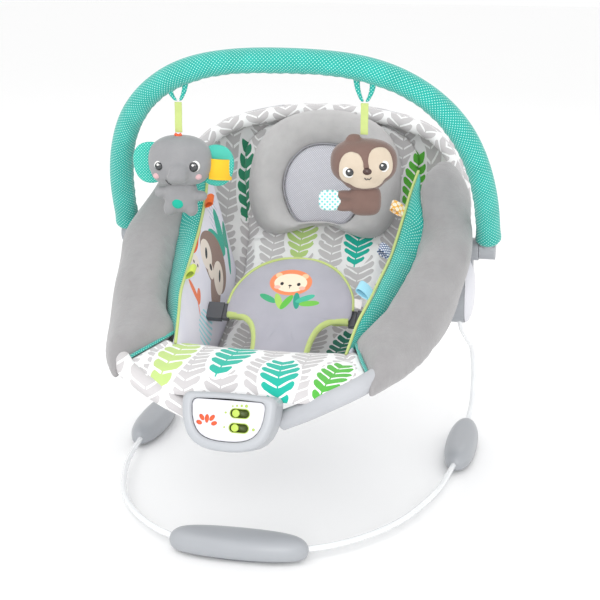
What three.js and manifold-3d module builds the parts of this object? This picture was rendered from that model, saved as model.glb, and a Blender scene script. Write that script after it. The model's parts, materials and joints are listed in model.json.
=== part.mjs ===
// Baby bouncer seat: wire base on three feet, sprung padded seat, toy bar with two plush
// toys, and a battery unit at the front. Millimetres, +Z up, front faces -Y, origin on the
// floor below the middle of the seat.

import * as THREE from 'three';
import { mergeVertices } from 'three/addons/utils/BufferGeometryUtils.js';
import Module from 'manifold-3d';

const wasm = await Module();
wasm.setup();

// ---- driving dimensions ----

const GAP = 0.4;                 // clearance between touching pieces
const WIRE_RADIUS = 3.5;         // base wire
const TUBE_RADIUS = 7;           // seat frame tube
const WIRE_HEIGHT = 13;          // centre of the base wire over the floor
const PAD_THICKNESS = 3.4;       // rubber under each foot

const FOOT_BASE = PAD_THICKNESS + GAP;
const FRONT_FOOT = { x: 0, y: -236, length: 156, width: 46 };
const SIDE_FOOT = { x: 206, y: 106, length: 144, width: 40 };
const FOOT_TOP = 29;
const FOOT_BELLY = 13;           // height of a foot's widest section

const HUB = { y: 100, z: 221, depth: 26, height: 42, inner: 180, split: 206, outer: 217.4 };
const PIVOT = { y: 106, z: 272 };          // toy bar pivot, seen along X
const SOCKET = { inside: 206.4, outside: 219.6, radius: 14 };
const BAR_END = { inside: 220.2, outside: 239.6, radius: 12 };
const PIN_RADIUS = 3.5;

const BAR_LEAN = THREE.MathUtils.degToRad(25.9);
const BAR_HALF_WIDTH = 231;
const BAR_RISE = 264;
const BAR_POWER = 2.7;           // exponent of the superelliptic arch
const ROD_RADIUS = 4;
const SLEEVE_RADIUS = 13.4;
const ROD_START = 6;             // distance along the bar from the pivot
const SLEEVE_START = 20;

const UNIT = { y: -262, z: 164, width: 100, height: 60, tilt: 20 };

// ---- finishes ----

function finish(colour, roughness, metalness = 0) {
  return new THREE.MeshStandardMaterial({ color: colour, roughness, metalness });
}

const greyPlastic = () => finish('#b4b7bb', 0.38);
const palePlastic = () => finish('#dcdde0', 0.35);
const whiteSteel = () => finish('#f2f3f3', 0.25);
const bareSteel = () => finish('#b9bcc0', 0.3, 1);
const rubber = () => finish('#8f9296', 0.8);
const plush = () => finish('#b3b1b1', 0.95);
const printedCotton = () => finish('#f1f1ef', 0.9);
const wingCotton = () => finish('#eceaf2', 0.9);
const bibCotton = () => finish('#c3c2ca', 0.9);
const tealKnit = () => finish('#2bc4ab', 0.85);
const limeWebbing = () => finish('#cfe06a', 0.8);
const darkPlastic = () => finish('#55565a', 0.45);
const limePlastic = () => finish('#b9d24a', 0.4);
const circuitGreen = () => finish('#2f6b45', 0.6);
const elephantPlush = () => finish('#a5a6a8', 0.95);
const slothPlush = () => finish('#8a7168', 0.95);
const batteryJacket = () => finish('#3b3f46', 0.4, 0.3);

// ---- solids ----

function outward(geometry) {
  const p = geometry.getAttribute('position');
  const index = Array.from(geometry.index.array);
  const at = (i) => new THREE.Vector3().fromBufferAttribute(p, i);
  let volume = 0;
  for (let i = 0; i < index.length; i += 3) {
    volume += at(index[i]).dot(at(index[i + 1]).cross(at(index[i + 2])));
  }
  if (volume < 0) geometry.setIndex(index.reverse());
  return geometry;
}

function closed(geometry) {
  const bare = new THREE.BufferGeometry();
  bare.setAttribute('position', geometry.getAttribute('position').clone());
  if (geometry.index) bare.setIndex(geometry.index.clone());
  return outward(mergeVertices(bare, 1e-4));
}

function solid(geometry) {
  const ready = closed(geometry);
  return new wasm.Manifold(new wasm.Mesh({
    numProp: 3,
    vertProperties: new Float32Array(ready.getAttribute('position').array),
    triVerts: new Uint32Array(ready.index.array),
  }));
}

function shaped(manifold) {
  const mesh = manifold.getMesh();
  const geometry = new THREE.BufferGeometry();
  geometry.setAttribute('position', new THREE.BufferAttribute(mesh.vertProperties, 3));
  geometry.setIndex(Array.from(mesh.triVerts));
  return geometry;
}

function cut(geometry, ...tools) {
  const body = tools.reduce((left, tool) => left.subtract(solid(tool)), solid(geometry));
  return shaped(body);
}

function join(first, ...others) {
  const body = others.reduce((sum, other) => sum.add(solid(other)), solid(first));
  return shaped(body);
}

function keep(geometry, region) {
  return shaped(solid(geometry).intersect(solid(region)));
}

function block(x0, x1, y0, y1, z0, z1) {
  const geometry = new THREE.BoxGeometry(x1 - x0, y1 - y0, z1 - z0);
  return geometry.translate((x0 + x1) / 2, (y0 + y1) / 2, (z0 + z1) / 2);
}

function ellipsoid(rx, ry, rz, segments = 20, rings = 12) {
  return new THREE.SphereGeometry(1, segments, rings).scale(rx, ry, rz);
}

// A cylinder along X from x0 to x1, centred at (y, z).
function rodX(x0, x1, y, z, radius, sides = 16) {
  const geometry = new THREE.CylinderGeometry(radius, radius, x1 - x0, sides);
  return geometry.rotateZ(Math.PI / 2).translate((x0 + x1) / 2, y, z);
}

// A cylinder along Z from z0 to z1, centred at (x, y).
function rodZ(z0, z1, x, y, radius, sides = 16) {
  const geometry = new THREE.CylinderGeometry(radius, radius, z1 - z0, sides);
  return geometry.rotateX(Math.PI / 2).translate(x, y, (z0 + z1) / 2);
}

function smooth(points) {
  const places = points.map((p) => new THREE.Vector3(...p));
  return new THREE.CatmullRomCurve3(places, false, 'centripetal');
}

function disc(radius, hole = 0) {
  const shape = new THREE.Shape().absarc(0, 0, radius, 0, 2 * Math.PI);
  if (hole) shape.holes.push(new THREE.Path().absarc(0, 0, hole, 0, 2 * Math.PI));
  return shape;
}

// A round tube along a curve.
function along(curve, radius, stepLength, { hole = 0, sides = 8 } = {}) {
  return new THREE.ExtrudeGeometry(disc(radius, hole), {
    extrudePath: curve,
    steps: Math.round(curve.getLength() / stepLength),
    curveSegments: sides / 2,
  });
}

// A flat shape drawn in (y, z) and extruded along X from x0 to x1.
function plateX(shape, x0, x1, segments = 12) {
  const geometry = new THREE.ExtrudeGeometry(shape, {
    depth: x1 - x0, bevelEnabled: false, curveSegments: segments,
  });
  geometry.rotateX(Math.PI / 2).rotateZ(Math.PI / 2);
  return geometry.translate(x0, 0, 0);
}

// A solid skinned over rings of points, one ring after another, closed at both ends.
function loft(rings) {
  const count = rings[0].length;
  const last = (rings.length - 1) * count;
  const index = [];
  for (let i = 0; i < last; i += count) {
    for (let j = 0; j < count; j += 1) {
      const next = (j + 1) % count;
      index.push(i + j, i + next, i + count + next);
      index.push(i + j, i + count + next, i + count + j);
    }
  }
  for (let j = 1; j < count - 1; j += 1) {
    index.push(0, j + 1, j);
    index.push(last, last + j, last + j + 1);
  }
  const geometry = new THREE.BufferGeometry();
  const flat = rings.flat(2);
  geometry.setAttribute('position', new THREE.Float32BufferAttribute(flat, 3));
  geometry.setIndex(index);
  return outward(geometry);
}

// ---- scene graph ----

const bouncer = new THREE.Group();

function place(name, geometry, material, parent = bouncer) {
  const mesh = new THREE.Mesh(geometry, material);
  mesh.name = name;
  parent.add(mesh);
  return mesh;
}

const mirror = new THREE.Group();
mirror.scale.x = -1;
bouncer.add(mirror);

// Right piece as drawn, left piece mirrored in the middle plane.
function placePair(name, geometry, finishFor) {
  place(`${name}_right`, geometry, finishFor());
  place(`${name}_left`, geometry.clone(), finishFor(), mirror);
}

function mirrored(points) {
  const left = points.map(([x, y, z]) => [-x, y, z]).reverse();
  return [...left, ...points.slice(1)];
}

// ---- wire base and feet ----

const floorWireHalf = [
  [0, -238], [40, -237], [79, -228], [111, -206], [139, -176],
  [165, -134], [182, -87], [195, -36], [201, 12], [205, 60], [206, 110], [206, 170],
].map(([x, y]) => [x, y, WIRE_HEIGHT]);

const floorWire = smooth(mirrored(floorWireHalf));

const riserWire = smooth([
  [206, 179.5, 16], [207, 198, 22], [207.5, 224, 32], [207.5, 235, 57], [207, 228, 86],
  [206, 206, 112], [203.5, 155, 141], [200.5, 104, 172], [200, 92, 186], [200, 90, 198],
]);

// An ellipsoid with a flat underside, hollowed for the wire that runs through it.
function foot({ x, y, length, width }, alongY) {
  const half = [length / 2, width / 2];
  const [rx, ry] = alongY ? half.reverse() : half;
  const crown = FOOT_TOP - FOOT_BELLY;
  const pebble = ellipsoid(rx, ry, crown, 16, 10).translate(x, y, FOOT_BELLY);
  const above = block(x - rx, x + rx, y - ry, y + ry, FOOT_BASE, FOOT_TOP + 1);
  const channel = along(floorWire, WIRE_RADIUS + GAP, 20);
  return cut(keep(pebble, above), channel);
}

function footPad({ x, y, length, width }, alongY, share = 0.58) {
  const half = [length / 2 * share, width / 2 * share];
  const [rx, ry] = alongY ? half.reverse() : half;
  const outline = new THREE.Shape().absellipse(x, y, rx, ry, 0, 2 * Math.PI);
  return new THREE.ExtrudeGeometry(outline, {
    depth: PAD_THICKNESS, bevelEnabled: false, curveSegments: 8,
  });
}

function addBase() {
  place('front_base_wire', along(floorWire, WIRE_RADIUS, 20), whiteSteel());
  place('front_foot', foot(FRONT_FOOT, false), greyPlastic());
  place('front_foot_pad', footPad(FRONT_FOOT, false), rubber());
  placePair('side_foot', foot(SIDE_FOOT, true), greyPlastic);
  placePair('side_foot_pad', footPad(SIDE_FOOT, true), rubber);
  placePair('rear_wire', along(riserWire, WIRE_RADIUS, 12), whiteSteel);
}

// ---- seat frame ----

const FRONT_TUBE = { y: -226, z: 159 };

const frontTube = smooth(mirrored([
  [0, FRONT_TUBE.y, FRONT_TUBE.z], [50, -226, 159.5], [75, -226, 170], [100, -227, 184], [125, -217, 196],
  [143, -193, 202], [158, -158, 206], [171, -115, 207], [180, -70, 209],
  [186, -20, 214], [190, 30, 216], [191, 70, 214], [191, 96, 213],
]));

const backTube = smooth(mirrored([
  [0, 270, 411], [60, 267, 408], [115, 257, 397], [150, 242, 382], [176, 216, 355],
  [190, 182, 322], [194, 150, 289], [192, 122, 256], [191, 108, 238],
]));

function addSeatFrame() {
  place('seat_frame_front', along(frontTube, TUBE_RADIUS, 26), bareSteel());
  place('seat_frame_back', along(backTube, TUBE_RADIUS, 26), bareSteel());
}

// ---- hubs and toy bar sockets ----

function socketBody(margin = 0) {
  const { inside, outside, radius } = SOCKET;
  const ring = rodX(inside, outside + margin, PIVOT.y, PIVOT.z, radius + margin, 24);
  const stem = block(
    inside, 213 + margin, PIVOT.y - 9 - margin, PIVOT.y + 7 + margin,
    238 - margin, PIVOT.z,
  );
  return join(ring, stem);
}

function pinBore() {
  return rodX(207.4, 238.4, PIVOT.y, PIVOT.z, PIN_RADIUS + GAP);
}

const SCREW = { y: 106, z: 190, radius: 2, head: 4.2 };

function screwBore() {
  return rodX(170, 211.5, SCREW.y, SCREW.z, SCREW.radius + 0.3, 12);
}

function hubInner() {
  const outline = new THREE.Shape();
  outline.absellipse(HUB.y, HUB.z, HUB.depth, HUB.height, 0, 2 * Math.PI);
  return cut(
    plateX(outline, HUB.inner, HUB.split),
    along(frontTube, TUBE_RADIUS + GAP, 26),
    along(backTube, TUBE_RADIUS + GAP, 26),
    along(riserWire, WIRE_RADIUS + GAP, 12),
    screwBore(),
  );
}

function hubCover() {
  const face = HUB.split + GAP;
  const depth = HUB.outer - face;
  const dome = ellipsoid(depth, HUB.depth, HUB.height, 16, 12).translate(face, HUB.y, HUB.z);
  const outside = block(face, 230, 50, 150, 150, 300);
  return cut(keep(dome, outside), socketBody(GAP), screwBore());
}

function hubScrew() {
  const head = rodX(HUB.inner - 3, HUB.inner - GAP, SCREW.y, SCREW.z, SCREW.head, 12);
  return join(head, rodX(HUB.inner - 1, 210.5, SCREW.y, SCREW.z, SCREW.radius, 12));
}

function addHubs() {
  placePair('hub_inner', hubInner(), greyPlastic);
  placePair('hub_cover', hubCover(), palePlastic);
  placePair('hub_screw', hubScrew(), bareSteel);
  placePair('toy_bar_socket', cut(socketBody(), pinBore()), greyPlastic);
}

// ---- toy bar ----

const barUp = new THREE.Vector3(0, -Math.sin(BAR_LEAN), Math.cos(BAR_LEAN));

function barRise(x) {
  const share = Math.abs(x) / BAR_HALF_WIDTH;
  return BAR_RISE * (1 - share ** BAR_POWER) ** (1 / BAR_POWER);
}

function barPoint(x, rise) {
  return new THREE.Vector3(x, PIVOT.y, PIVOT.z).addScaledVector(barUp, rise);
}

// The arch above both ends of the bar that lie `start` beyond the pivot.
function barCurve(start) {
  const first = Math.asin((start / BAR_RISE) ** (BAR_POWER / 2));
  const points = [];
  const steps = 26;
  for (let i = 0; i <= steps; i += 1) {
    const angle = first + (i / steps) * (Math.PI - 2 * first);
    const across = Math.sign(Math.cos(angle)) * Math.abs(Math.cos(angle)) ** (2 / BAR_POWER);
    const rise = BAR_RISE * Math.sin(angle) ** (2 / BAR_POWER);
    points.push(barPoint(BAR_HALF_WIDTH * across, rise));
  }
  return new THREE.CatmullRomCurve3(points, false, 'centripetal');
}

function barEnd() {
  const knuckle = rodX(BAR_END.inside, BAR_END.outside, PIVOT.y, PIVOT.z, BAR_END.radius, 24);
  const collarLength = SLEEVE_START - 1.5;
  const collar = new THREE.CylinderGeometry(10, 10, collarLength, 16);
  collar.rotateX(Math.PI / 2 + BAR_LEAN);
  const middle = barPoint(BAR_HALF_WIDTH - 1, collarLength / 2);
  collar.translate(middle.x, middle.y, middle.z);
  const bore = along(barCurve(ROD_START - GAP), ROD_RADIUS + GAP, 24);
  return cut(join(knuckle, collar), pinBore(), bore);
}

function addToyBar() {
  place('toy_bar_rod', along(barCurve(ROD_START), ROD_RADIUS, 24), whiteSteel());
  const sleeve = along(barCurve(SLEEVE_START), SLEEVE_RADIUS, 24, {
    hole: ROD_RADIUS + 2 * GAP, sides: 10,
  });
  place('toy_bar_sleeve', sleeve, tealKnit());
  placePair('toy_bar_end', barEnd(), greyPlastic);
  const pin = rodX(208, 238, PIVOT.y, PIVOT.z, PIN_RADIUS);
  placePair('toy_bar_pin', pin, bareSteel);
}

// ---- hanging toys ----

const TOYS = {
  elephant: { x: -130.5, ribbonTop: 457 },
  sloth: { x: 93, ribbonTop: 463 },
};
const RIBBON = { width: 9, thickness: 1.6, length: 36 };
const LOOP = { topWidth: 24, footWidth: 13, thickness: 4 };
const SWING_GAP = 1;             // room for a ribbon to turn under its loop
const TOY_GAP = 2.4;             // and for a toy to turn under its ribbon

function toyY(toy) {
  return barPoint(toy.x, barRise(toy.x)).y + 2;
}

// Folded cloth tab sewn below the sleeve, wide where it meets the bar.
function toyLoop(toy) {
  const farSide = Math.abs(toy.x) + LOOP.topWidth / 2;
  const top = barPoint(toy.x, barRise(farSide)).z - SLEEVE_RADIUS - 2;
  const foot = toy.ribbonTop + SWING_GAP;
  const outline = new THREE.Shape([
    new THREE.Vector2(-LOOP.topWidth / 2, top), new THREE.Vector2(-LOOP.footWidth / 2, foot),
    new THREE.Vector2(LOOP.footWidth / 2, foot), new THREE.Vector2(LOOP.topWidth / 2, top),
  ]);
  const geometry = new THREE.ExtrudeGeometry(outline, {
    depth: LOOP.thickness, bevelEnabled: false,
  });
  geometry.rotateX(Math.PI / 2);
  return geometry.translate(toy.x, toyY(toy) + LOOP.thickness / 2, 0);
}

function toyRibbon(toy) {
  const y = toyY(toy);
  const foot = toy.ribbonTop - RIBBON.length;
  return block(
    toy.x - RIBBON.width / 2, toy.x + RIBBON.width / 2,
    y - RIBBON.thickness / 2, y + RIBBON.thickness / 2, foot, toy.ribbonTop,
  );
}

function ball(x, y, z, rx, ry, rz) {
  return ellipsoid(rx, ry, rz, 10, 6).translate(x, y, z);
}

function elephant(toy) {
  const y = toyY(toy);
  const crown = toy.ribbonTop - RIBBON.length - TOY_GAP;
  const head = crown - 31;
  const parts = [
    ball(toy.x - 43, y + 4, head + 1, 17, 6, 20),
    ball(toy.x + 43, y + 4, head + 1, 17, 6, 20),
    ball(toy.x, y - 20, head - 12, 6, 10, 7),
    ball(toy.x, y, head - 42, 23, 17, 20),
    ball(toy.x - 20, y - 5, head - 38, 8, 7, 12),
    ball(toy.x + 20, y - 5, head - 38, 8, 7, 12),
  ];
  return join(ball(toy.x, y, head, 37, 24, 31), ...parts);
}

function sloth(toy) {
  const y = toyY(toy);
  const crown = toy.ribbonTop - RIBBON.length - TOY_GAP;
  const head = crown - 32;
  const parts = [
    ball(toy.x + 1, y, head - 40, 24, 17, 20),
    ball(toy.x - 32, y - 5, head - 38, 20, 8, 9),
    ball(toy.x + 22, y - 5, head - 38, 10, 8, 15),
  ];
  return join(ball(toy.x, y, head, 39, 24, 32), ...parts);
}

function addToys() {
  for (const [name, toy] of Object.entries(TOYS)) {
    place(`${name}_loop`, toyLoop(toy), tealKnit());
    place(`${name}_ribbon`, toyRibbon(toy), limeWebbing());
  }
  place('elephant_toy', elephant(TOYS.elephant), elephantPlush());
  place('sloth_toy', sloth(TOYS.sloth), slothPlush());
}

// ---- battery and sound unit, drawn facing +Z with +Y up, then tipped into place ----

const FACE = { width: 78, height: 43, front: 12.5, thickness: 2.5, lift: 2 };
const SHELL = { back: -22, front: 2, wall: 2.2 };
const BEZEL_FRONT = 16;
const SWITCH = { x: 12.5, rows: [8.5, -6.5], slotLength: 20, slotHeight: 9, knob: 8, travel: 8 };
const CELL = { radius: 7.1, length: 50, x: -37.3, z: -11.5, rows: [-9.4, 5.2, 19.8] };
const DOOR = { x0: -36, x1: 18.5, y0: -16, y1: 19 };
const DOOR_SCREW = { x: 15, y: -2, radius: 1.5, head: 3 };

// Flat top with small corners, deep round belly.
function dShape(width, height, lift = 0) {
  const w = width / 2;
  const top = height / 2 + lift;
  const low = lift - height / 2;
  const corner = height * 0.16;
  const shape = new THREE.Shape();
  shape.moveTo(0, top);
  shape.lineTo(-w + corner, top);
  shape.quadraticCurveTo(-w, top, -w, top - corner);
  shape.bezierCurveTo(-w + 1, low + height * 0.12, -w * 0.62, low, 0, low);
  shape.bezierCurveTo(w * 0.62, low, w - 1, low + height * 0.12, w, top - corner);
  shape.quadraticCurveTo(w, top, w - corner, top);
  return shape;
}

function slab(shape, z0, z1, segments = 8) {
  const geometry = new THREE.ExtrudeGeometry(shape, {
    depth: z1 - z0, bevelEnabled: false, curveSegments: segments,
  });
  return geometry.translate(0, 0, z0);
}

function stadium(x, y, length, height) {
  const r = height / 2;
  const shape = new THREE.Shape();
  shape.absarc(x + length / 2 - r, y, r, -Math.PI / 2, Math.PI / 2);
  shape.absarc(x - length / 2 + r, y, r, Math.PI / 2, 1.5 * Math.PI);
  return shape;
}

// The frame tube's centre line seen from the unit: up along its face and out of it.
function tubeFromUnit() {
  const tilt = THREE.MathUtils.degToRad(UNIT.tilt);
  const back = FRONT_TUBE.y - UNIT.y;
  const up = FRONT_TUBE.z - UNIT.z;
  return {
    y: back * Math.sin(tilt) + up * Math.cos(tilt),
    z: up * Math.sin(tilt) - back * Math.cos(tilt),
  };
}

function unitHousing() {
  const { back, front, wall } = SHELL;
  const hollow = slab(dShape(UNIT.width - 2 * wall, UNIT.height - 2 * wall), back + wall, front + 1);
  const doorway = block(DOOR.x0, DOOR.x1, DOOR.y0, DOOR.y1, back - 1, back + wall + 1);
  const shell = cut(slab(dShape(UNIT.width, UNIT.height), back, front), hollow, doorway);
  const tube = tubeFromUnit();
  const [low, high] = [tube.y - 10, tube.y + 10];
  const saddles = [block(22, 44, low, high, tube.z - 2, back + 0.5)];
  saddles.push(block(-47, -39, low, high, tube.z - 2, back + 0.5));
  const channel = rodX(-60, 60, tube.y, tube.z, TUBE_RADIUS + 2 * GAP);
  return cut(join(shell, ...saddles), channel);
}

function unitBezel() {
  const shape = dShape(UNIT.width, UNIT.height);
  shape.holes.push(dShape(FACE.width, FACE.height, FACE.lift));
  return slab(shape, SHELL.front + GAP, BEZEL_FRONT);
}

function faceplate() {
  const shape = dShape(FACE.width - 2 * GAP, FACE.height - 2 * GAP, FACE.lift);
  for (const row of SWITCH.rows) {
    shape.holes.push(stadium(SWITCH.x, row + FACE.lift, SWITCH.slotLength, SWITCH.slotHeight));
  }
  return slab(shape, FACE.front - FACE.thickness, FACE.front);
}

// A round knob at the left end of its slot on a narrow stem.
function slideSwitch(row) {
  const x = SWITCH.x - SWITCH.travel / 2;
  const y = row + FACE.lift;
  const knob = rodZ(FACE.front - 1.5, FACE.front + 2, x, y, SWITCH.knob / 2, 14);
  return join(knob, rodZ(1.5, FACE.front - 1, x, y, 2, 10));
}

function batteryDoor() {
  const plate = block(
    DOOR.x0 + GAP, DOOR.x1 - GAP, DOOR.y0 + GAP, DOOR.y1 - GAP, SHELL.back, SHELL.back + SHELL.wall,
  );
  return cut(plate, rodZ(-30, -10, DOOR_SCREW.x, DOOR_SCREW.y, DOOR_SCREW.radius + GAP, 12));
}

function doorScrew() {
  const { x, y, radius, head } = DOOR_SCREW;
  const cap = rodZ(SHELL.back - 2.2, SHELL.back - 0.3, x, y, head, 12);
  return join(cap, rodZ(SHELL.back - 1, SHELL.back + 9, x, y, radius, 12));
}

function motorWeight() {
  const half = new THREE.Shape().absarc(0, -11.5 + 1, 7.6, Math.PI, 2 * Math.PI);
  half.closePath();
  const lobe = plateX(half, 36, 41.5, 8);
  return cut(join(lobe, rodX(35.4, 42, 0, -11.5, 3, 10)), rodX(30, 46, 0, -11.5, 1.5, 10));
}

function vibrationMotor() {
  const can = rodX(18, 35, 0, -11.5, 7.5, 14);
  return join(can, rodX(34, 43, 0, -11.5, 1.1, 8));
}

function addControlUnit() {
  const unit = new THREE.Group();
  unit.position.set(0, UNIT.y, UNIT.z);
  unit.rotation.x = THREE.MathUtils.degToRad(90 - UNIT.tilt);
  bouncer.add(unit);
  place('control_housing', unitHousing(), greyPlastic(), unit);
  place('control_bezel', unitBezel(), greyPlastic(), unit);
  place('control_faceplate', faceplate(), palePlastic(), unit);
  place('vibration_switch', slideSwitch(SWITCH.rows[1]), limePlastic(), unit);
  place('sound_switch', slideSwitch(SWITCH.rows[0]), limePlastic(), unit);
  place('circuit_board', block(-36, 38, -12, 22, -1, 0.6), circuitGreen(), unit);
  place('speaker', rodZ(1.1, 8.5, -20, 4, 12.5, 16), darkPlastic(), unit);
  place('battery_door', batteryDoor(), greyPlastic(), unit);
  place('battery_door_screw', doorScrew(), bareSteel(), unit);
  CELL.rows.forEach((row, i) => {
    const cell = rodX(CELL.x, CELL.x + CELL.length, row, CELL.z, CELL.radius, 14);
    place(`battery_${i + 1}`, cell, batteryJacket(), unit);
  });
  place('vibration_motor', vibrationMotor(), bareSteel(), unit);
  place('motor_weight', motorWeight(), bareSteel(), unit);
}

// ---- soft seat ----

// Middle of the seat from the front edge to the head: [y, z] of the top face, half width
// and thickness.
const PAD_STATIONS = [
  [-227, 190, 70, 5], [-214, 194, 96, 10], [-198, 198, 111, 14], [-165, 200, 107, 17],
  [-125, 195, 97, 20], [-85, 177, 95, 22], [-45, 157, 94, 22], [0, 146, 93, 22],
  [50, 151, 93, 22], [100, 173, 94, 22], [153, 209, 97, 22], [204, 252, 104, 22],
  [239, 298, 116, 22], [268.1, 341, 126, 21], [268, 368, 120, 16], [266, 386, 98, 12],
  [263, 398, 60, 8],
];

function padRing(before, station, after) {
  const [y, z, halfWidth, thickness] = station;
  const run = new THREE.Vector2(after[0] - before[0], after[1] - before[1]).normalize();
  const ring = [];
  const sides = 12;
  for (let i = 0; i < sides; i += 1) {
    const angle = ((i + 0.5) / sides) * 2 * Math.PI;
    const c = Math.cos(angle);
    const s = Math.sin(angle);
    const x = halfWidth * Math.sign(c) * Math.abs(c) ** 0.3;
    const depth = (thickness / 2) * (Math.sign(s) * Math.abs(s) ** 0.6 - 1);
    ring.push([x, y - run.y * depth, z + run.x * depth]);
  }
  return ring;
}

function seatPad() {
  const rings = PAD_STATIONS.map((station, i) => {
    const before = PAD_STATIONS[Math.max(i - 1, 0)];
    const after = PAD_STATIONS[Math.min(i + 1, PAD_STATIONS.length - 1)];
    return padRing(before, station, after);
  });
  return loft(rings);
}

// Side bolster: [y, centre x, centre z, half width, half height], front to back.
const BOLSTER_STATIONS = [
  [-210, 123, 208, 3, 3], [-204, 123, 209, 6, 6], [-186, 123, 212, 9, 9],
  [-160, 129, 217, 16, 13], [-115, 137, 225, 29, 17], [-70, 160, 237, 34, 21],
  [-20, 170, 251, 35, 26], [30, 179, 272, 35, 31], [80, 181, 301, 32, 34],
  [110, 178, 320, 30, 34], [150, 174, 344, 26, 28], [172, 168, 358, 19, 21],
  [182, 164, 364, 10, 11],
];

function bolster() {
  const sides = 14;
  const rings = BOLSTER_STATIONS.map(([y, x, z, halfWidth, halfHeight]) => {
    const ring = [];
    for (let i = 0; i < sides; i += 1) {
      const angle = (i / sides) * 2 * Math.PI;
      ring.push([x + halfWidth * Math.cos(angle), y, z + halfHeight * Math.sin(angle)]);
    }
    return ring;
  });
  return loft(rings);
}

// Side wing: [y, z of the foot, x and z of the piping], front to back.
const WING_STATIONS = [
  [-128, 186, 106, 205], [-100, 172, 107, 225], [-60, 152, 112, 247], [-15, 138, 117, 262],
  [30, 138, 122, 278], [75, 152, 126, 300], [110, 170, 130, 325], [128, 182, 131, 336],
];
const WING = { foot: 98.5, thickness: 7 };

function wing() {
  const rings = WING_STATIONS.map(([y, low, x, z]) => [
    [WING.foot, y, low], [x - WING.thickness, y, z], [x, y, z + 3],
    [WING.foot + WING.thickness, y, low],
  ]);
  return loft(rings);
}

// Head pillow: a fat horseshoe pad lying on the leaning back of the seat.
function headPillow() {
  const outline = new THREE.Shape();
  outline.moveTo(0, 160);
  outline.bezierCurveTo(62, 160, 100, 128, 103, 70);
  outline.bezierCurveTo(105, 20, 84, -4, 58, 0);
  outline.bezierCurveTo(38, 4, 30, 14, 0, 14);
  outline.bezierCurveTo(-30, 14, -38, 4, -58, 0);
  outline.bezierCurveTo(-84, -4, -105, 20, -103, 70);
  outline.bezierCurveTo(-100, 128, -62, 160, 0, 160);
  const geometry = slab(outline, 0, 32, 5);
  geometry.rotateX(Math.PI / 2 - THREE.MathUtils.degToRad(19));
  return geometry.translate(0, 205, 258);
}

// Bib between the legs: stem, two leg openings, domed top. Drawn flat, then leaned back.
const BIB = { y: -44, z: 170, thickness: 6, lean: 37 };

function crotchPanel() {
  const outline = new THREE.Shape();
  outline.moveTo(-33, -8);
  outline.lineTo(33, -8);
  outline.bezierCurveTo(34, 40, 44, 58, 76, 56);
  outline.bezierCurveTo(82, 76, 74, 104, 60, 122);
  outline.bezierCurveTo(44, 142, 22, 150, 0, 150);
  outline.bezierCurveTo(-22, 150, -44, 142, -60, 122);
  outline.bezierCurveTo(-74, 104, -82, 76, -76, 56);
  outline.bezierCurveTo(-44, 58, -34, 40, -33, -8);
  const geometry = slab(outline, -BIB.thickness, 0, 6);
  geometry.rotateX(THREE.MathUtils.degToRad(BIB.lean));
  return geometry.translate(0, BIB.y, BIB.z);
}

function addSoftSeat() {
  place('seat_pad', seatPad(), printedCotton());
  placePair('bolster', bolster(), plush);
  placePair('wing', wing(), wingCotton);
  place('head_pillow', headPillow(), plush());
  place('crotch_panel', crotchPanel(), bibCotton());
}

// ---- waist straps and buckles, drawn along +Z, then laid across towards the bib ----

const BUCKLE = { x: 103, y: 17, z: 198, width: 24, thickness: 8 };
const STRAP_WIDTH = 20;

// +Z turns to -X, and the flat faces lean with the bib.
function laid(geometry) {
  const across = geometry.clone().rotateZ(Math.PI / 2).rotateY(-Math.PI / 2);
  across.rotateX(THREE.MathUtils.degToRad(BIB.lean));
  return across.translate(BUCKLE.x, BUCKLE.y, BUCKLE.z);
}

function buckleSocket() {
  const { width, thickness } = BUCKLE;
  const body = block(-width / 2, width / 2, -thickness / 2, thickness / 2, 0, 20);
  return cut(body, block(-9.5, 9.5, -2.6, 2.6, 6, 21));
}

function buckleTongue() {
  const grip = block(-11, 11, -3.4, 3.4, 20.6, 29);
  return join(grip, block(-9, 9, -2.1, 2.1, 8, 21));
}

function waistStrap() {
  return block(-STRAP_WIDTH / 2, STRAP_WIDTH / 2, -1, 1, 29.5, 48);
}

function addRestraint() {
  placePair('buckle_socket', laid(buckleSocket()), darkPlastic);
  placePair('buckle_tongue', laid(buckleTongue()), darkPlastic);
  placePair('waist_strap', laid(waistStrap()), limeWebbing);
}

addBase();
addSeatFrame();
addHubs();
addToyBar();
addToys();
addControlUnit();
addSoftSeat();
addRestraint();

bouncer.updateMatrixWorld(true);
export default bouncer;
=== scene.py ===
"""Looks of the baby bouncer seat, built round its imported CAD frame.

Metres in the row frame: +Z up, the front faces -Y. Lengths in lists are millimetres.
"""

import json
import math

import bmesh
import bpy
import numpy as np
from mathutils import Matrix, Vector


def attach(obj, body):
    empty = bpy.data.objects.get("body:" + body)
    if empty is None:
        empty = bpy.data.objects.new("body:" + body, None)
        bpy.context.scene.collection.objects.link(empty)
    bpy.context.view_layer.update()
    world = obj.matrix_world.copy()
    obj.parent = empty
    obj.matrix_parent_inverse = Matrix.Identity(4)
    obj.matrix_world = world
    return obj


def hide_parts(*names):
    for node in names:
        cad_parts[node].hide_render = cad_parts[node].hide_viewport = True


MM = 0.001

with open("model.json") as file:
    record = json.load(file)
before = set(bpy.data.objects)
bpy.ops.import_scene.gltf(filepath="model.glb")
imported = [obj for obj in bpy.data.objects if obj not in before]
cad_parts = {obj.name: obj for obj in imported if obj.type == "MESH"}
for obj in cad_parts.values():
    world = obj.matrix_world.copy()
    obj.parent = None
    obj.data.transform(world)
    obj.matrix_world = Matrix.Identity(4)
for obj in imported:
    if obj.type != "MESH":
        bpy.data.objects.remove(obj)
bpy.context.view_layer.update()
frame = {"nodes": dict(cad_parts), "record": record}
scene = bpy.context.scene


# ---- numbers and curves ----


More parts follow.
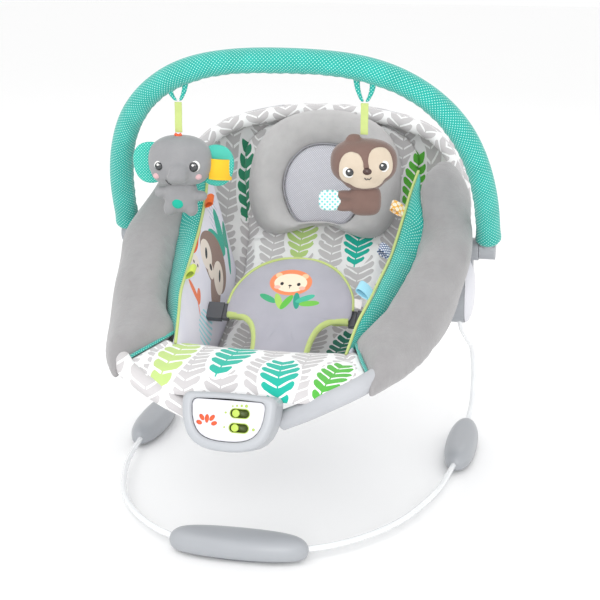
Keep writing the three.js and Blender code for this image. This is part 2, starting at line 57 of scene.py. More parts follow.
def catmull(points, count, closed=False):
    """A smooth line through the points, resampled to evenly spaced ones."""
    p = np.array(points, float)
    if closed:
        p = np.vstack([p[-1], p, p[0], p[1]])
    else:
        p = np.vstack([2 * p[0] - p[1], p, 2 * p[-1] - p[-2]])
    dense = []
    for a, b, c, d in zip(p[:-3], p[1:-2], p[2:-1], p[3:]):
        t = np.linspace(0, 1, 16, endpoint=False)[:, None]
        dense.append(
            0.5 * (2 * b + (c - a) * t + (2 * a - 5 * b + 4 * c - d) * t**2
                   + (3 * b - a - 3 * c + d) * t**3)
        )
    dense = np.vstack(dense + [p[-2:-1]])
    length = distance_along(dense)
    wanted = np.linspace(0, length[-1], count + 1 if closed else count)
    out = np.stack([np.interp(wanted, length, dense[:, k]) for k in range(p.shape[1])], 1)
    return out[:-1] if closed else out


def full_turn(count):
    return np.linspace(0, 2 * np.pi, count, endpoint=False)


def distance_along(path):
    """Length of the path up to each of its points."""
    return np.concatenate([[0], np.cumsum(np.linalg.norm(np.diff(path, axis=0), axis=1))])


def unit(v):
    return v / np.maximum(np.linalg.norm(v, axis=-1, keepdims=True), 1e-12)


def squared(v, power):
    """A cosine or sine pushed out towards a square's sides by a power of at most 1."""
    return np.sign(v) * np.abs(v) ** power


def mirror_x(points):
    return np.asarray(points, float) * [-1, 1, 1]


def both_sides():
    """Name and sign of X for the right and the left side."""
    return (("right", 1), ("left", -1))


def ripple(points, size, seed=0.0):
    """Smooth wavy numbers from -1 to 1 over space, for creases and uneven filling."""
    p = np.asarray(points) / size
    total = np.zeros(len(p))
    for k in range(1, 6):
        a = np.sin(seed + 1.7 * k * np.array([1.0, 2.1, 3.7]))
        b = np.cos(seed * 1.3 + 2.3 * k * np.array([1.9, 0.7, 2.9]))
        total += np.sin(p @ (a * 2.2) + 5 * k) * np.cos(p @ (b * 2.2) + 3 * k)
    return np.clip(total / 3, -1, 1)


# ---- meshes ----


def add_piece(name, points, faces, *materials):
    mesh = bpy.data.meshes.new(name)
    mesh.from_pydata(np.asarray(points, float).tolist(), [], faces)
    mesh.validate()
    for material in materials:
        mesh.materials.append(material)
    mesh.shade_smooth()
    piece = bpy.data.objects.new(name, mesh)
    scene.collection.objects.link(piece)
    return piece


def grid_faces(rows, columns, wrap):
    """Faces between rows of points; wrap joins the last column to the first."""
    faces = []
    for i in range(rows - 1):
        for j in range(columns if wrap else columns - 1):
            k = (j + 1) % columns
            faces.append((i * columns + j, i * columns + k,
                          (i + 1) * columns + k, (i + 1) * columns + j))
    return faces


def hoop_faces(rows, columns):
    """Faces of a body without ends: the last ring joins the first one as well."""
    last = (rows - 1) * columns
    closing = [(last + j, last + (j + 1) % columns, (j + 1) % columns, j) for j in range(columns)]
    return grid_faces(rows, columns, True) + closing


def loft(name, rings, material):
    """A closed body skinned over rings of points."""
    rings = np.asarray(rings, float)
    rows, columns = rings.shape[:2]
    faces = grid_faces(rows, columns, True)
    faces.append(tuple(reversed(range(columns))))
    faces.append(tuple(range((rows - 1) * columns, rows * columns)))
    return add_piece(name, rings.reshape(-1, 3), faces, material)


def outward(piece):
    """Turns all faces out."""
    bm = bmesh.new()
    bm.from_mesh(piece.data)
    bmesh.ops.recalc_face_normals(bm, faces=bm.faces)
    bm.to_mesh(piece.data)
    bm.free()
    return piece


def coordinates(piece):
    flat = np.zeros(len(piece.data.vertices) * 3)
    piece.data.vertices.foreach_get("co", flat)
    return flat.reshape(-1, 3)


def set_coordinates(piece, points):
    piece.data.vertices.foreach_set("co", np.asarray(points, float).ravel())
    piece.data.update()


def set_uv(piece, flat):
    """Gives every vertex its flat-cloth place in metres."""
    layer = piece.data.uv_layers.get("cloth") or piece.data.uv_layers.new(name="cloth")
    index = np.zeros(len(piece.data.loops), int)
    piece.data.loops.foreach_get("vertex_index", index)
    layer.data.foreach_set("uv", np.asarray(flat, np.float32)[index].ravel())
    return piece


def lay_flat(piece, stretch=1.0, shift=0.0):
    """Cloth places as seen from the front: X runs across and Z along."""
    p = coordinates(piece)
    set_uv(piece, np.stack([p[:, 0], p[:, 2] * stretch + shift], 1))


def crease(piece, size, seed, reach):
    """Waves the surface by up to reach along each axis, in metres."""
    p = coordinates(piece)
    set_coordinates(piece, p + ripple(p, size, seed)[:, None] * reach)


def applied(piece):
    """Turns the modifiers' result into the piece's own mesh."""
    graph = bpy.context.evaluated_depsgraph_get()
    mesh = bpy.data.meshes.new_from_object(piece.evaluated_get(graph))
    piece.modifiers.clear()
    piece.data = mesh
    mesh.shade_smooth()
    return piece


def subdivide(piece):
    modifier = piece.modifiers.new("subdivide", "SUBSURF")
    modifier.levels = modifier.render_levels = 1
    return piece


def remeshed(piece, voxel):
    modifier = piece.modifiers.new("remesh", "REMESH")
    modifier.mode = "VOXEL"
    modifier.voxel_size = voxel
    material = piece.data.materials[0]
    applied(piece)
    piece.data.materials.clear()
    piece.data.materials.append(material)
    return piece


def relaxed(piece, repeat):
    modifier = piece.modifiers.new("relax", "SMOOTH")
    modifier.factor, modifier.iterations = 0.5, repeat
    return applied(piece)


CLOTH_FRAMES = 18


def inflate(piece, voxel, cap, pressure):
    """Fills a closed body like a sewn cushion: remesh, blow up as cloth, limit the movement."""
    remeshed(piece, voxel)
    relaxed(piece, 2)
    start = coordinates(piece)
    cloth = piece.modifiers.new("cloth", "CLOTH")
    cloth.settings.use_pressure = True
    cloth.settings.uniform_pressure_force = pressure
    cloth.settings.effector_weights.gravity = 0
    for step in range(1, CLOTH_FRAMES + 1):
        scene.frame_set(step)
    applied(piece)
    scene.frame_set(1)
    moved = coordinates(piece) - start
    size = np.linalg.norm(moved, axis=1, keepdims=True)
    set_coordinates(piece, start + moved * np.minimum(1, cap / np.maximum(size, 1e-9)))
    relaxed(piece, 1)
    return subdivide(piece)


def tube(name, path, radius, material, sides=10, closed=False, flat=1.0):
    """A round or flattened tube along a path."""
    path = np.asarray(path, float)
    count = len(path)
    ahead = np.roll(path, -1, 0) - np.roll(path, 1, 0)
    if not closed:
        ahead[0], ahead[-1] = path[1] - path[0], path[-1] - path[-2]
    ahead = unit(ahead)
    across = np.array([0.31, 0.17, 0.93])
    angle = full_turn(sides)[:, None]
    rings = []
    for point, direction in zip(path, ahead):
        across = unit(across - direction * (across @ direction))
        up = np.cross(direction, across)
        rings.append(point + radius * (np.cos(angle) * across + flat * np.sin(angle) * up))
    if closed:
        faces = hoop_faces(count, sides)
        return outward(add_piece(name, np.reshape(rings, (-1, 3)), faces, material))
    piece = outward(loft(name, rings, material))
    turn = np.tile(full_turn(sides), count) * radius
    set_uv(piece, np.stack([turn, np.repeat(distance_along(path), sides)], 1))
    return piece


def ribbon(name, path, width, across, thickness, material):
    """A flat woven band along a path; across is the direction of its width."""
    path = np.asarray(path, float)
    across = unit(np.broadcast_to(np.asarray(across, float), path.shape))
    ahead = unit(np.gradient(path, axis=0))
    out = unit(np.cross(ahead, across))
    corners = [(-1, -1), (1, -1), (1, 1), (-1, 1)]
    rings = [
        [p + a * width / 2 * u + o * thickness / 2 * v for u, v in corners]
        for p, a, o in zip(path, across, out)
    ]
    piece = outward(loft(name, rings, material))
    set_uv(piece, [(u * width / 2, step) for step in distance_along(path) for u, v in corners])
    bevel = piece.modifiers.new("bevel", "BEVEL")
    bevel.width, bevel.segments = thickness * 0.3, 2
    return piece


# ---- materials: a small language for node trees ----


class Value:
    """One number of a node tree, which takes part in arithmetic."""

    def __init__(self, net, socket):
        self.net, self.socket = net, socket

    def math(self, operation, *others):
        node = self.net.nodes.new("ShaderNodeMath")
        node.operation = operation
        for k, value in enumerate((self, *others)):
            self.net.feed(node.inputs[k], value)
        return Value(self.net, node.outputs[0])

    def __add__(self, other):
        return self.math("ADD", other)

    def __sub__(self, other):
        return self.math("SUBTRACT", other)

    def __mul__(self, other):
        return self.math("MULTIPLY", other)

    def __truediv__(self, other):
        return self.math("DIVIDE", other)

    def __abs__(self):
        return self.math("ABSOLUTE")

    def below(self, other):
        return self.math("LESS_THAN", other)

    def above(self, other):
        return self.math("GREATER_THAN", other)

    def floor(self):
        return self.math("FLOOR")

    def part(self):
        return self.math("FRACT")

    def either(self, other):
        return self.math("MAXIMUM", other)


class Net:
    """The node tree of one material round a Principled shader."""

    def __init__(self, name, roughness, metallic=0.0, sheen=0.0, coat=0.0):
        self.material = bpy.data.materials.new(name)
        self.material.use_nodes = True
        self.nodes = self.material.node_tree.nodes
        self.links = self.material.node_tree.links
        self.shader = self.nodes["Principled BSDF"]
        self.shader.inputs["Roughness"].default_value = roughness
        self.shader.inputs["Metallic"].default_value = metallic
        self.shader.inputs["Sheen Weight"].default_value = sheen
        self.shader.inputs["Coat Weight"].default_value = coat

    def feed(self, socket, value):
        if isinstance(value, Value):
            self.links.new(value.socket, socket)
        elif hasattr(value, "is_output"):
            self.links.new(value, socket)
        else:
            socket.default_value = value

    def cloth(self):
        """The flat-cloth place of the point: across and along, in metres."""
        source = self.nodes.new("ShaderNodeUVMap")
        source.uv_map = "cloth"
        split = self.nodes.new("ShaderNodeSeparateXYZ")
        self.links.new(source.outputs[0], split.inputs[0])
        return Value(self, split.outputs[0]), Value(self, split.outputs[1])

    def noise(self, scale, detail=3.0, stretch=None):
        node = self.nodes.new("ShaderNodeTexNoise")
        node.inputs["Scale"].default_value = scale
        node.inputs["Detail"].default_value = detail
        vector = self.nodes.new("ShaderNodeTexCoord").outputs["Object"]
        if stretch:
            mapping = self.nodes.new("ShaderNodeMapping")
            mapping.inputs["Scale"].default_value = stretch
            self.links.new(vector, mapping.inputs[0])
            vector = mapping.outputs[0]
        self.links.new(vector, node.inputs["Vector"])
        return Value(self, node.outputs["Fac"])

    def mix(self, amount, first, second):
        node = self.nodes.new("ShaderNodeMix")
        node.data_type = "RGBA"
        self.feed(node.inputs["Factor"], amount)
        for socket, colour in ((node.inputs["A"], first), (node.inputs["B"], second)):
            self.feed(socket, colour)
        return node.outputs["Result"]

    def paint(self, colour):
        self.feed(self.shader.inputs["Base Color"], colour)

    def bump(self, height, strength, distance):
        node = self.nodes.new("ShaderNodeBump")
        node.inputs["Strength"].default_value = strength
        node.inputs["Distance"].default_value = distance
        self.feed(node.inputs["Height"], height)
        self.links.new(node.outputs[0], self.shader.inputs["Normal"])


def rgb(code):
    """Linear colour of an sRGB hex code."""
    parts = [int(code[i:i + 2], 16) / 255 for i in (1, 3, 5)]
    return (*[c / 12.92 if c <= 0.04045 else ((c + 0.055) / 1.055) ** 2.4 for c in parts], 1.0)


def mottled(net, code, dark, scale=40.0, contrast=1.0):
    """The colour with soft darker clouds."""
    cloud = (net.noise(scale) - 0.5) * contrast + 0.5
    return net.mix(cloud, rgb(code), rgb(dark))


def plush(name, code, dark):
    """Short soft pile with faint streaks."""
    net = Net(name, 0.95, sheen=0.35)
    streaks = net.noise(55, 4, stretch=(1.0, 0.35, 1.0))
    net.paint(net.mix((streaks - 0.35) * 1.2, rgb(code), rgb(dark)))
    pile = net.noise(900, 2) + net.noise(160, 3) * 1.4
    net.bump(pile, 0.35, 0.0012)
    return net.material


def waves(distance, pitch):
    return (distance * (2 * math.pi / pitch)).math("SINE")


def weave_height(across, along, pitch):
    """Over and under threads of a plain weave."""
    return waves(across, pitch) * waves(along, pitch)


def cotton_bump(net, across, along, scale, softness):
    """Fine threads over soft unevenness."""
    threads = weave_height(across, along, 0.0011) * 0.5
    net.bump(threads + net.noise(scale, 3) * softness, 0.25, 0.0012)


def webbing(name, code, dark):
    """Ribbed narrow band."""
    net = Net(name, 0.8, sheen=0.2)
    along = net.cloth()[1]
    net.paint(net.mix(net.noise(120) * 0.6, rgb(code), rgb(dark)))
    net.bump(waves(along, 0.0016), 0.3, 0.0004)
    return net.material


def moulded(name, code, dark, roughness, coat=0.0):
    """Injection-moulded plastic with a fine grain."""
    net = Net(name, roughness, coat=coat)
    net.paint(mottled(net, code, dark, 12, 0.8))
    grain = net.noise(1400, 2)
    net.bump(grain, 0.06, 0.0004)
    rough = (net.noise(18) * 0.16) + (roughness - 0.08)
    net.feed(net.shader.inputs["Roughness"], rough)
    return net.material


def metal(name, code, roughness):
    net = Net(name, roughness, metallic=1.0)
    net.paint(mottled(net, code, "#8d9196", 30, 0.5))
    net.bump(net.noise(700, 2, stretch=(1, 1, 0.1)), 0.05, 0.0003)
    return net.material


def enamel(name, code):
    net = Net(name, 0.22, coat=0.5)
    net.paint(mottled(net, code, "#dfe2e4", 9, 0.5))
    net.bump(net.noise(60, 2), 0.03, 0.0006)
    return net.material


def dots(across, along, pitch, radius):
    """Staggered round dots on the cloth."""
    total = None
    for shift in (0.0, 0.5):
        u = (across / pitch + shift).part() - 0.5
        v = (along / pitch + shift).part() - 0.5
        spot = (u * u + v * v).below(radius * radius)
        total = spot if total is None else total.either(spot)
    return total


def dotted_knit(name, code, dark, pitch=0.0042):
    """Soft knit with light dots over finer loops."""
    net = Net(name, 0.85, sheen=0.3)
    across, along = net.cloth()
    base = mottled(net, code, dark, 45, 1.3)
    spots = dots(across, along, pitch, 0.15)
    net.paint(net.mix(spots * 0.7, base, rgb("#c9fff2")))
    net.bump(dots(across, along, 0.0013, 0.3) + net.noise(200) * 0.6, 0.3, 0.0008)
    return net.material


def turned(x, y, centre_x, centre_y, degrees):
    """The point in a frame at the centre whose second axis is turned clockwise by the angle."""
    c, s = math.cos(math.radians(degrees)), math.sin(math.radians(degrees))
    dx, dy = x - centre_x, y - centre_y
    return dx * c - dy * s, dx * s + dy * c


def oval(x, y, centre_x, centre_y, half_x, half_y, degrees=0):
    """1 inside an ellipse."""
    u, v = turned(x, y, centre_x, centre_y, degrees)
    u, v = u / half_x, v / half_y
    return (u * u + v * v).below(1.0)


def fern(x, y, length, half_width, pairs):
    """A frond along +y from the origin: pairs of leaflets that point up and out."""
    rows = (y * (pairs / length)) - abs(x) * (0.62 * pairs / length)
    index = rows.floor()
    part = rows - index
    middle = (index + 0.5) * (1 / pairs)
    reach = ((middle * 0.72 + 0.14) * math.pi).math("SINE") * half_width
    bow = (part - 0.4) * (part - 0.4) * -1.1 + 1.0
    leaflet = abs(x).below(reach * bow) * part.below(0.78)
    leaflet = leaflet * rows.above(0.0) * rows.below(pairs)
    stem = abs(x).below(0.0009) * y.above(-0.004) * y.below(length * 0.82)
    return leaflet.either(stem)


FERNS = [
    # across, along, lean in degrees, length, half width, colour; millimetres
    (-88, 12, 3, 116, 19, "#bfd884"),
    (-28, 34, 5, 100, 21, "#12b5a0"),
    (44, -2, -6, 78, 21, "#12b5a0"),
    (87, 8, 14, 66, 18, "#57b544"),
    (52, 124, -8, 78, 18, "#147a62"),
    (-112, 528, -4, 96, 15, "#2f8a67"),
    (-24, 456, 0, 66, 21, "#b9d584"),
    (53, 450, 0, 62, 20, "#12b5a0"),
    (110, 548, 10, 70, 14, "#5cb83f"),
    (52, 262, 12, 72, 16, "#147a62"),
]


def leaf_print(name):
    """White cotton printed with grey fronds in staggered columns and a few coloured ones."""
    net = Net(name, 0.88, sheen=0.15)
    across, along = net.cloth()
    column_width, repeat = 0.040, 0.086
    column = (across / column_width).floor()
    x = across - (column + 0.5) * column_width
    odd = (column * 0.5).part() * 2
    along_column = (along / repeat + odd * 0.5).part() * repeat
    grey = fern(x, along_column, repeat, column_width * 0.5, 7)
    cotton = mottled(net, "#fbfbfa", "#ededee", 30)
    colour = net.mix(grey, cotton, rgb("#c9c6c7"))
    for u, v, lean, length, half, code in FERNS:
        x, y = turned(across, along, u * MM, v * MM, lean)
        clear = oval(x, y, 0, length * MM * 0.55, half * MM * 1.12, length * MM * 0.62)
        frond = fern(x, y, length * MM, half * MM, 6)
        colour = net.mix(clear, colour, cotton)
        colour = net.mix(frond, colour, rgb(code))
    net.paint(colour)
    cotton_bump(net, across, along, 90, 1.6)
    return net.material


def painted(net, colour, ovals, x, y):
    """Prints ovals over a colour, in order: place, half sizes and lean as for oval, and colour."""
    for u, v, half_x, half_y, degrees, code in ovals:
        mask = oval(x, y, u * MM, v * MM, half_x * MM, half_y * MM, degrees)
        colour = net.mix(mask, colour, rgb(code))
    return colour


BIB_OVALS = [
    # mane and ears, face, cheeks, eyes, nose and mouth, leaves; millimetres from the face's middle
    (0, 0, 26.5, 20.5, 0, "#f08a5c"),
    (-16.5, 10.5, 4.2, 4.2, 0, "#f6c79b"), (16.5, 10.5, 4.2, 4.2, 0, "#f6c79b"),
    (0, -1, 20.5, 14.5, 0, "#f5e3cb"),
    (-15.5, -8.5, 4, 2.8, 0, "#f4b6a6"), (15.5, -8.5, 4, 2.8, 0, "#f4b6a6"),
    (-10.5, -3, 2.2, 2.6, 0, "#23262a"), (10.5, -3, 2.2, 2.6, 0, "#23262a"),
    (0, -5.5, 2.1, 1.4, 0, "#23262a"), (0, -8.2, 0.5, 2.0, 0, "#23262a"),
    (-24, -26, 4.2, 12.5, -62, "#3fa878"), (-10, -30, 4.2, 12.5, -22, "#a8cf62"),
    (0, -31, 4.2, 12.5, 28, "#62bb46"), (12, -28, 4.2, 12.5, -8, "#2a9c86"),
    (22, -24, 4.2, 12.5, 62, "#46b99a"), (28, -31, 4.2, 12.5, 80, "#74c24e"),
]


def bib_print(name):
    """Grey cotton with a small maned animal's face over leaves."""
    net = Net(name, 0.88, sheen=0.2)
    x, y = net.cloth()
    base = mottled(net, "#b4b3bc", "#a2a1ab", 28, 1.2)
    net.paint(painted(net, base, BIB_OVALS, x + 0.003, y - 0.105))
    cotton_bump(net, x + 0.003, y, 80, 1.5)
    return net.material


WING_OVALS = [
    # leaves, blossom and twig, the animal's body, head, mask, eyes and nose, its baby; millimetres
    (112, 94, 9.5, 34, -29, "#22ab93"), (131, 92, 10, 30, 2, "#22ab93"),
    (148, 70, 12, 13, 0, "#35a58e"), (143, 46, 7, 19, 25, "#22ab93"),
    (68, 149, 10, 20, 78, "#f39a3a"), (46, 144, 11, 20, 78, "#ec5f2a"),
    (-14, 96, 5.5, 17, -20, "#f07a4a"), (-2, 86, 6, 13, 50, "#f07a4a"),
    (-12, 74, 1.6, 12, 10, "#f07a4a"),
    (66, 62, 21, 30, 38, "#93796f"), (86, 88, 29, 52, -26, "#93796f"),
    (67, 112, 17, 20, -26, "#efe2d6"), (86, 66, 18, 21, -26, "#efe2d6"),
    (66, 90, 9, 12, -26, "#efe2d6"),
    (68, 113, 3.8, 6.8, 50, "#23262a"), (91, 65, 3.8, 6.8, 50, "#23262a"),
    (69, 93, 3.6, 5.0, -26, "#3a2d2a"),
    (23, 123, 14, 12, 0, "#f3e9e2"), (20, 127, 2.2, 2.2, 0, "#3a2d2a"),
    (28, 118, 2.2, 2.2, 0, "#3a2d2a"),
]


def wing_print(name):
    """Pale cotton with a sleepy tree animal, leaves, strokes and stripes."""
    net = Net(name, 0.88, sheen=0.15)
    x, y = net.cloth()
    base = mottled(net, "#f0eef6", "#dedded", 22, 1.2)
    row = (y / 0.0050).floor()
    strokes = ((x / 0.0055) + row * 0.37).part().below(0.2) * (y / 0.0050).part().below(0.7)
    strokes = strokes * oval(x, y, 0.128, 0.118, 0.017, 0.026)
    bands = ((x * 0.7 + y) / 0.0085).part().below(0.42) * oval(x, y, 0.002, 0.044, 0.030, 0.024)
    colour = net.mix(bands, net.mix(strokes, base, rgb("#8aa0b8")), rgb("#9fdfe8"))
    net.paint(painted(net, colour, WING_OVALS, x, y))
    cotton_bump(net, x, y, 80, 1.5)
    return net.material


def open_mesh(name):
    """Grey knitted mesh with small light holes."""
    net = Net(name, 0.9, sheen=0.2)
    x, y = net.cloth()
    holes = dots(x, y, 0.0031, 0.21)
    net.paint(net.mix(holes, mottled(net, "#bcbbc2", "#aeadb6", 30), rgb("#dadae1")))
    net.bump(holes * -1.0, 0.5, 0.0006)
    return net.material


def tag_print(name, ground, ink, pitch=0.006, radius=0.24):
    net = Net(name, 0.7, sheen=0.2)
    x, y = net.cloth()
    base = mottled(net, ground, ground, 30)
    net.paint(net.mix(dots(x, y, pitch, radius) * 0.9, base, rgb(ink)))
    net.bump(weave_height(x, y, 0.0009), 0.25, 0.0004)
    return net.material


def plain_cloth(name, code, dark):
    net = Net(name, 0.88, sheen=0.2)
    net.paint(mottled(net, code, dark, 26, 1.2))
    net.bump(net.noise(1200, 2) * 0.5 + net.noise(90, 3) * 1.4, 0.25, 0.0011)
    return net.material


# ---- seat: shapes shared by its pieces, right side, millimetres ----

PROFILE = [
    # middle of the cushion's top from the front lip to the head: y, z, half width, thickness
    (-232.5, 173, 92, 5), (-231, 185, 114, 8), (-222, 193.5, 128, 12), (-205, 198.5, 133, 15),
    (-165, 200, 127, 17), (-125, 195, 110, 20), (-85, 177, 96, 22), (-45, 157, 95, 22),
    (0, 147, 94, 22), (50, 151, 94, 22), (100, 173, 95, 22), (153, 209, 98, 22),
    (204, 252, 104, 22), (239, 298, 116, 22), (264, 341, 124, 17), (267, 368, 118, 14),
    (265, 388, 96, 12), (262, 400, 60, 8),
]

INNER = [
    # seam between the side bolster and the wing or cushion, front to back
    (138, -219, 198), (131, -190, 202), (120, -160, 205), (105, -112, 208), (120, -77, 221),
    (130, -41, 236), (139, 1, 252), (146, 37, 268), (151, 68, 289), (150, 85, 312),
    (146, 102, 332), (145, 120, 348), (149, 138, 360), (157, 152, 369), (166, 162, 374),
]

OUTER = [
    # the bolster's widest line
    (143, -226, 194), (159, -196, 201), (172, -156, 208), (181, -119, 219), (190, -85, 230),
    (198, -50, 245), (206, -5, 263), (213, 34, 282), (213, 72, 293), (210, 98, 301),
    (206, 118, 309), (204, 140, 320), (200, 160, 334), (190, 176, 350), (178, 180, 362),
]

UNDER = [
    # where the bolster's cover turns under the frame tube
    (136, -220, 185), (152, -190, 189), (164, -158, 191), (175, -117, 192), (180, -82, 194),
    (186, -45, 198), (189, -3, 203), (191, 36, 211), (191, 64, 232), (190, 92, 274),
    (190, 113, 279), (192, 138, 290), (191, 160, 310), (184, 178, 330), (175, 180, 350),
]

PIPING = [
    # top edge of the wing
    (98, -134, 203), (104, -100, 228), (111, -67, 245), (116, -24, 259), (121, 21, 274),
    (124, 58, 291), (127, 90, 311), (131, 120, 335), (137, 146, 358),
]

WING_FOOT = [
    (98, -132, 192), (99, -100, 172), (99, -60, 152), (99, -15, 138), (99, 30, 138),
    (99, 75, 152), (99, 110, 170), (101, 140, 190), (105, 166, 214),
]


def on_side(points, sign):
    return np.asarray(points, float) * [sign * MM, MM, MM]


def seat_profile(y, z):
    """Distance along the cushion's middle line of the nearest point on it, in metres."""
    line = catmull([(p[0], p[1]) for p in PROFILE], 240) * MM
    gap = (y[:, None] - line[None, :, 0]) ** 2 + (z[:, None] - line[None, :, 1]) ** 2
    return distance_along(line)[gap.argmin(1)]


def print_by_profile(piece):
    p = coordinates(piece)
    set_uv(piece, np.stack([p[:, 0], seat_profile(p[:, 1], p[:, 2])], 1))


def make_cushion(material):
    """Seat and back cushion with a roll over the front edge."""
    line = catmull(PROFILE, 74)
    ahead = unit(np.gradient(line[:, :2], axis=0))
    columns = 36
    angle = full_turn(columns) + math.pi / columns
    x = squared(np.cos(angle), 0.35)
    depth = (squared(np.sin(angle), 0.6) - 1) / 2
    rings = []
    for (y, z, half, thick), (dy, dz) in zip(line, ahead):
        cup = 9 * np.abs(x) ** 3 if -190 < y < 200 else 3 * np.abs(x) ** 3
        rise = thick * depth + cup
        rings.append(np.stack([half * x, y - dz * rise, z + dy * rise], 1) * MM)
    piece = outward(loft("seat_cushion", rings, material))
    inflate(piece, 0.005, 0.004, pressure=3.5)
    print_by_profile(piece)
    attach(piece, "seat")
    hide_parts("seat_pad")


COVER = [
    # middle of the back cover: y, z; and its edge on the frame tube: x, y, z
    (-214, 172, 124, -214, 188), (-196, 176, 136, -194, 193), (-160, 178, 149, -158, 197),
    (-115, 170, 161, -115, 200), (-70, 147, 170, -70, 203), (-20, 122, 180, -20, 208),
    (40, 124, 187, 30, 219), (75, 134, 176, 62, 222), (112, 150, 175, 96, 236),
    (168, 187, 176, 122, 262), (228, 232, 192, 152, 291), (268, 290, 188, 182, 323),
    (288, 330, 176, 216, 357), (289, 368, 150, 242, 385), (282, 402, 115, 258, 402),
    (272, 416, 62, 267, 414),
]

# how far the cover's edge lies over the middle line of the frame tube
TUBE_TOP = 6


def make_cover(inside, outside):
    """One sheet of cloth slung under the cushion from one side of the frame tube to the other."""
    line = catmull(COVER, 60)
    across = np.linspace(0, 1, 16)
    rings = []
    for y, z, edge_x, edge_y, edge_z in line:
        lift = across**2.6
        half = np.stack([edge_x * np.sin(across * math.pi / 2) ** 0.9, y + (edge_y - y) * lift,
                         z + (edge_z + TUBE_TOP - z) * lift], 1)
        rings.append(np.vstack([mirror_x(half[:0:-1]), half]))
    rings = np.array(rings) * MM
    rows, columns = rings.shape[:2]
    piece = add_piece("seat_cover", rings.reshape(-1, 3), grid_faces(rows, columns, False),
                      inside, outside)
    steps = np.linalg.norm(np.diff(rings, axis=1), axis=2)
    spread = np.hstack([np.zeros((rows, 1)), np.cumsum(steps, 1)])
    spread -= spread[:, columns // 2:columns // 2 + 1]
    along = seat_profile(line[:, 0] * MM, line[:, 1] * MM)
    set_uv(piece, np.stack([spread.ravel(), np.repeat(along, columns)], 1))
    crease(piece, 0.07, 2.0, [0, 0.0008, 0.0008])
    thick = piece.modifiers.new("thickness", "SOLIDIFY")
    thick.thickness, thick.offset = 0.0016, 0
    thick.material_offset, thick.material_offset_rim = 1, 1
    subdivide(piece)
    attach(piece, "seat")


FRONT_TUBE = [
    # frame tube from under the bolster to the hub
    (158, -158, 202), (171, -115, 205), (180, -70, 209), (186, -20, 214), (190, 30, 216),
    (191, 66, 214.5),
]

BACK_TUBE = [
    # frame tube from above the hub to the middle of the head
    (193, 130, 266), (194, 150, 289), (190, 182, 322), (176, 216, 355), (150, 242, 382),
    (115, 257, 397), (60, 267, 408), (0, 270, 411),
]


FRONT_CASING, BACK_CASING, CASING_SIDES = 0.0093, 0.0102, 24
CASING_PRINT = 0.66


def make_casings(print_cloth, plain):
    """Hems of the cover sewn round the frame tube; CASING_PRINT slides the print on the back one."""
    for side, sign in both_sides():
        front = tube(f"front_casing_{side}", on_side(catmull(FRONT_TUBE, 60), sign),
                     FRONT_CASING, plain, sides=20)
        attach(front, "seat")
    half = catmull(BACK_TUBE, 50)
    line = np.vstack([half, mirror_x(half)[-2::-1]])
    back = tube("back_casing", (line + [0, 2, 1]) * MM, BACK_CASING, print_cloth,
                sides=CASING_SIDES)
    crease(back, 0.02, 6.0, [0.0004, 0, 0.0006])
    turn = np.tile(full_turn(CASING_SIDES) * BACK_CASING, len(line))
    steps = distance_along(line)
    lengths = np.repeat((steps - steps[-1] / 2) * MM, CASING_SIDES)
    set_uv(back, np.stack([lengths, turn + CASING_PRINT], 1))
    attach(back, "seat")


def make_bolster(side, sign, material):
    """Plush bolster: from the seam, over the crown, down round the frame tube."""
    rows = 64
    inner, outer, under = (catmull(p, rows) for p in (INNER, OUTER, UNDER))
    rings = []
    for k, (a, b, c) in enumerate(zip(inner, outer, under)):
        share = k / (rows - 1)
        full = min(1, share * 6 + 0.22) * min(1, (1 - share) * 7 + 0.25)
        crown = np.array([0.0, -0.35, 0.94]) * (23 * full)
        width = b - a
        inside = c - [9 * full, 0, -3]
        ring = [
            a, a + width * 0.10 + crown * 0.46, a + width * 0.34 + crown * 0.95,
            a + width * 0.62 + crown * 1.02, a + width * 0.88 + crown * 0.62, b,
            b * 0.62 + c * 0.38 + [5 * full, 0, -2], c + [7 * full, 0, 2], c + [0, 0, -2 * full],
            inside, inside * 0.45 + a * 0.55 + [9 * full, 0, -14 * full],
        ]
        rings.append(catmull(ring, 40, closed=True))
    piece = outward(loft(f"bolster_cover_{side}", on_side(rings, sign), material))
    inflate(piece, 0.005, 0.005, pressure=3.0)
    p = coordinates(piece)
    long_wave = ripple(p * [1, 0.45, 1], 0.035, 3.0 + sign)
    set_coordinates(piece, p + long_wave[:, None] * [sign * 0.0007, 0, 0.0009])
    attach(piece, "seat")
    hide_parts(f"bolster_{side}")


WING_ROWS = 48


def make_wing(side, sign, material):
    """Printed side panel: a thin pad from the cushion's side up to the piping."""
    foot, top = catmull(WING_FOOT, WING_ROWS), catmull(PIPING, WING_ROWS)
    rings, flat = [], []
    for k in range(WING_ROWS):
        line = top[k] - foot[k]
        tall = np.linalg.norm(line)
        swell = max(0.0, math.sin(math.pi * k / (WING_ROWS - 1))) ** 0.5
        face = []
        for t in np.linspace(0, 1, 14):
            puff = 5.5 * math.sin(math.pi * t) * swell
            face.append(foot[k] + line * t - [puff, 0, -puff * 0.4])
            flat.append((foot[k][1], t * tall))
        rear = [f + [7 * math.sin(math.pi * t) + 1.0, 0, -1] for t, f in
                zip(np.linspace(0.96, 0.04, 10), catmull(face, 10)[::-1])]
        flat += [(foot[k][1], 0.0)] * len(rear)
        rings.append(np.vstack([face, rear]))
    wing = outward(loft(f"wing_panel_{side}", on_side(rings, sign), material))
    set_uv(wing, np.array(flat) * MM)
    subdivide(wing)
    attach(wing, "seat")
    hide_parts(f"wing_{side}")


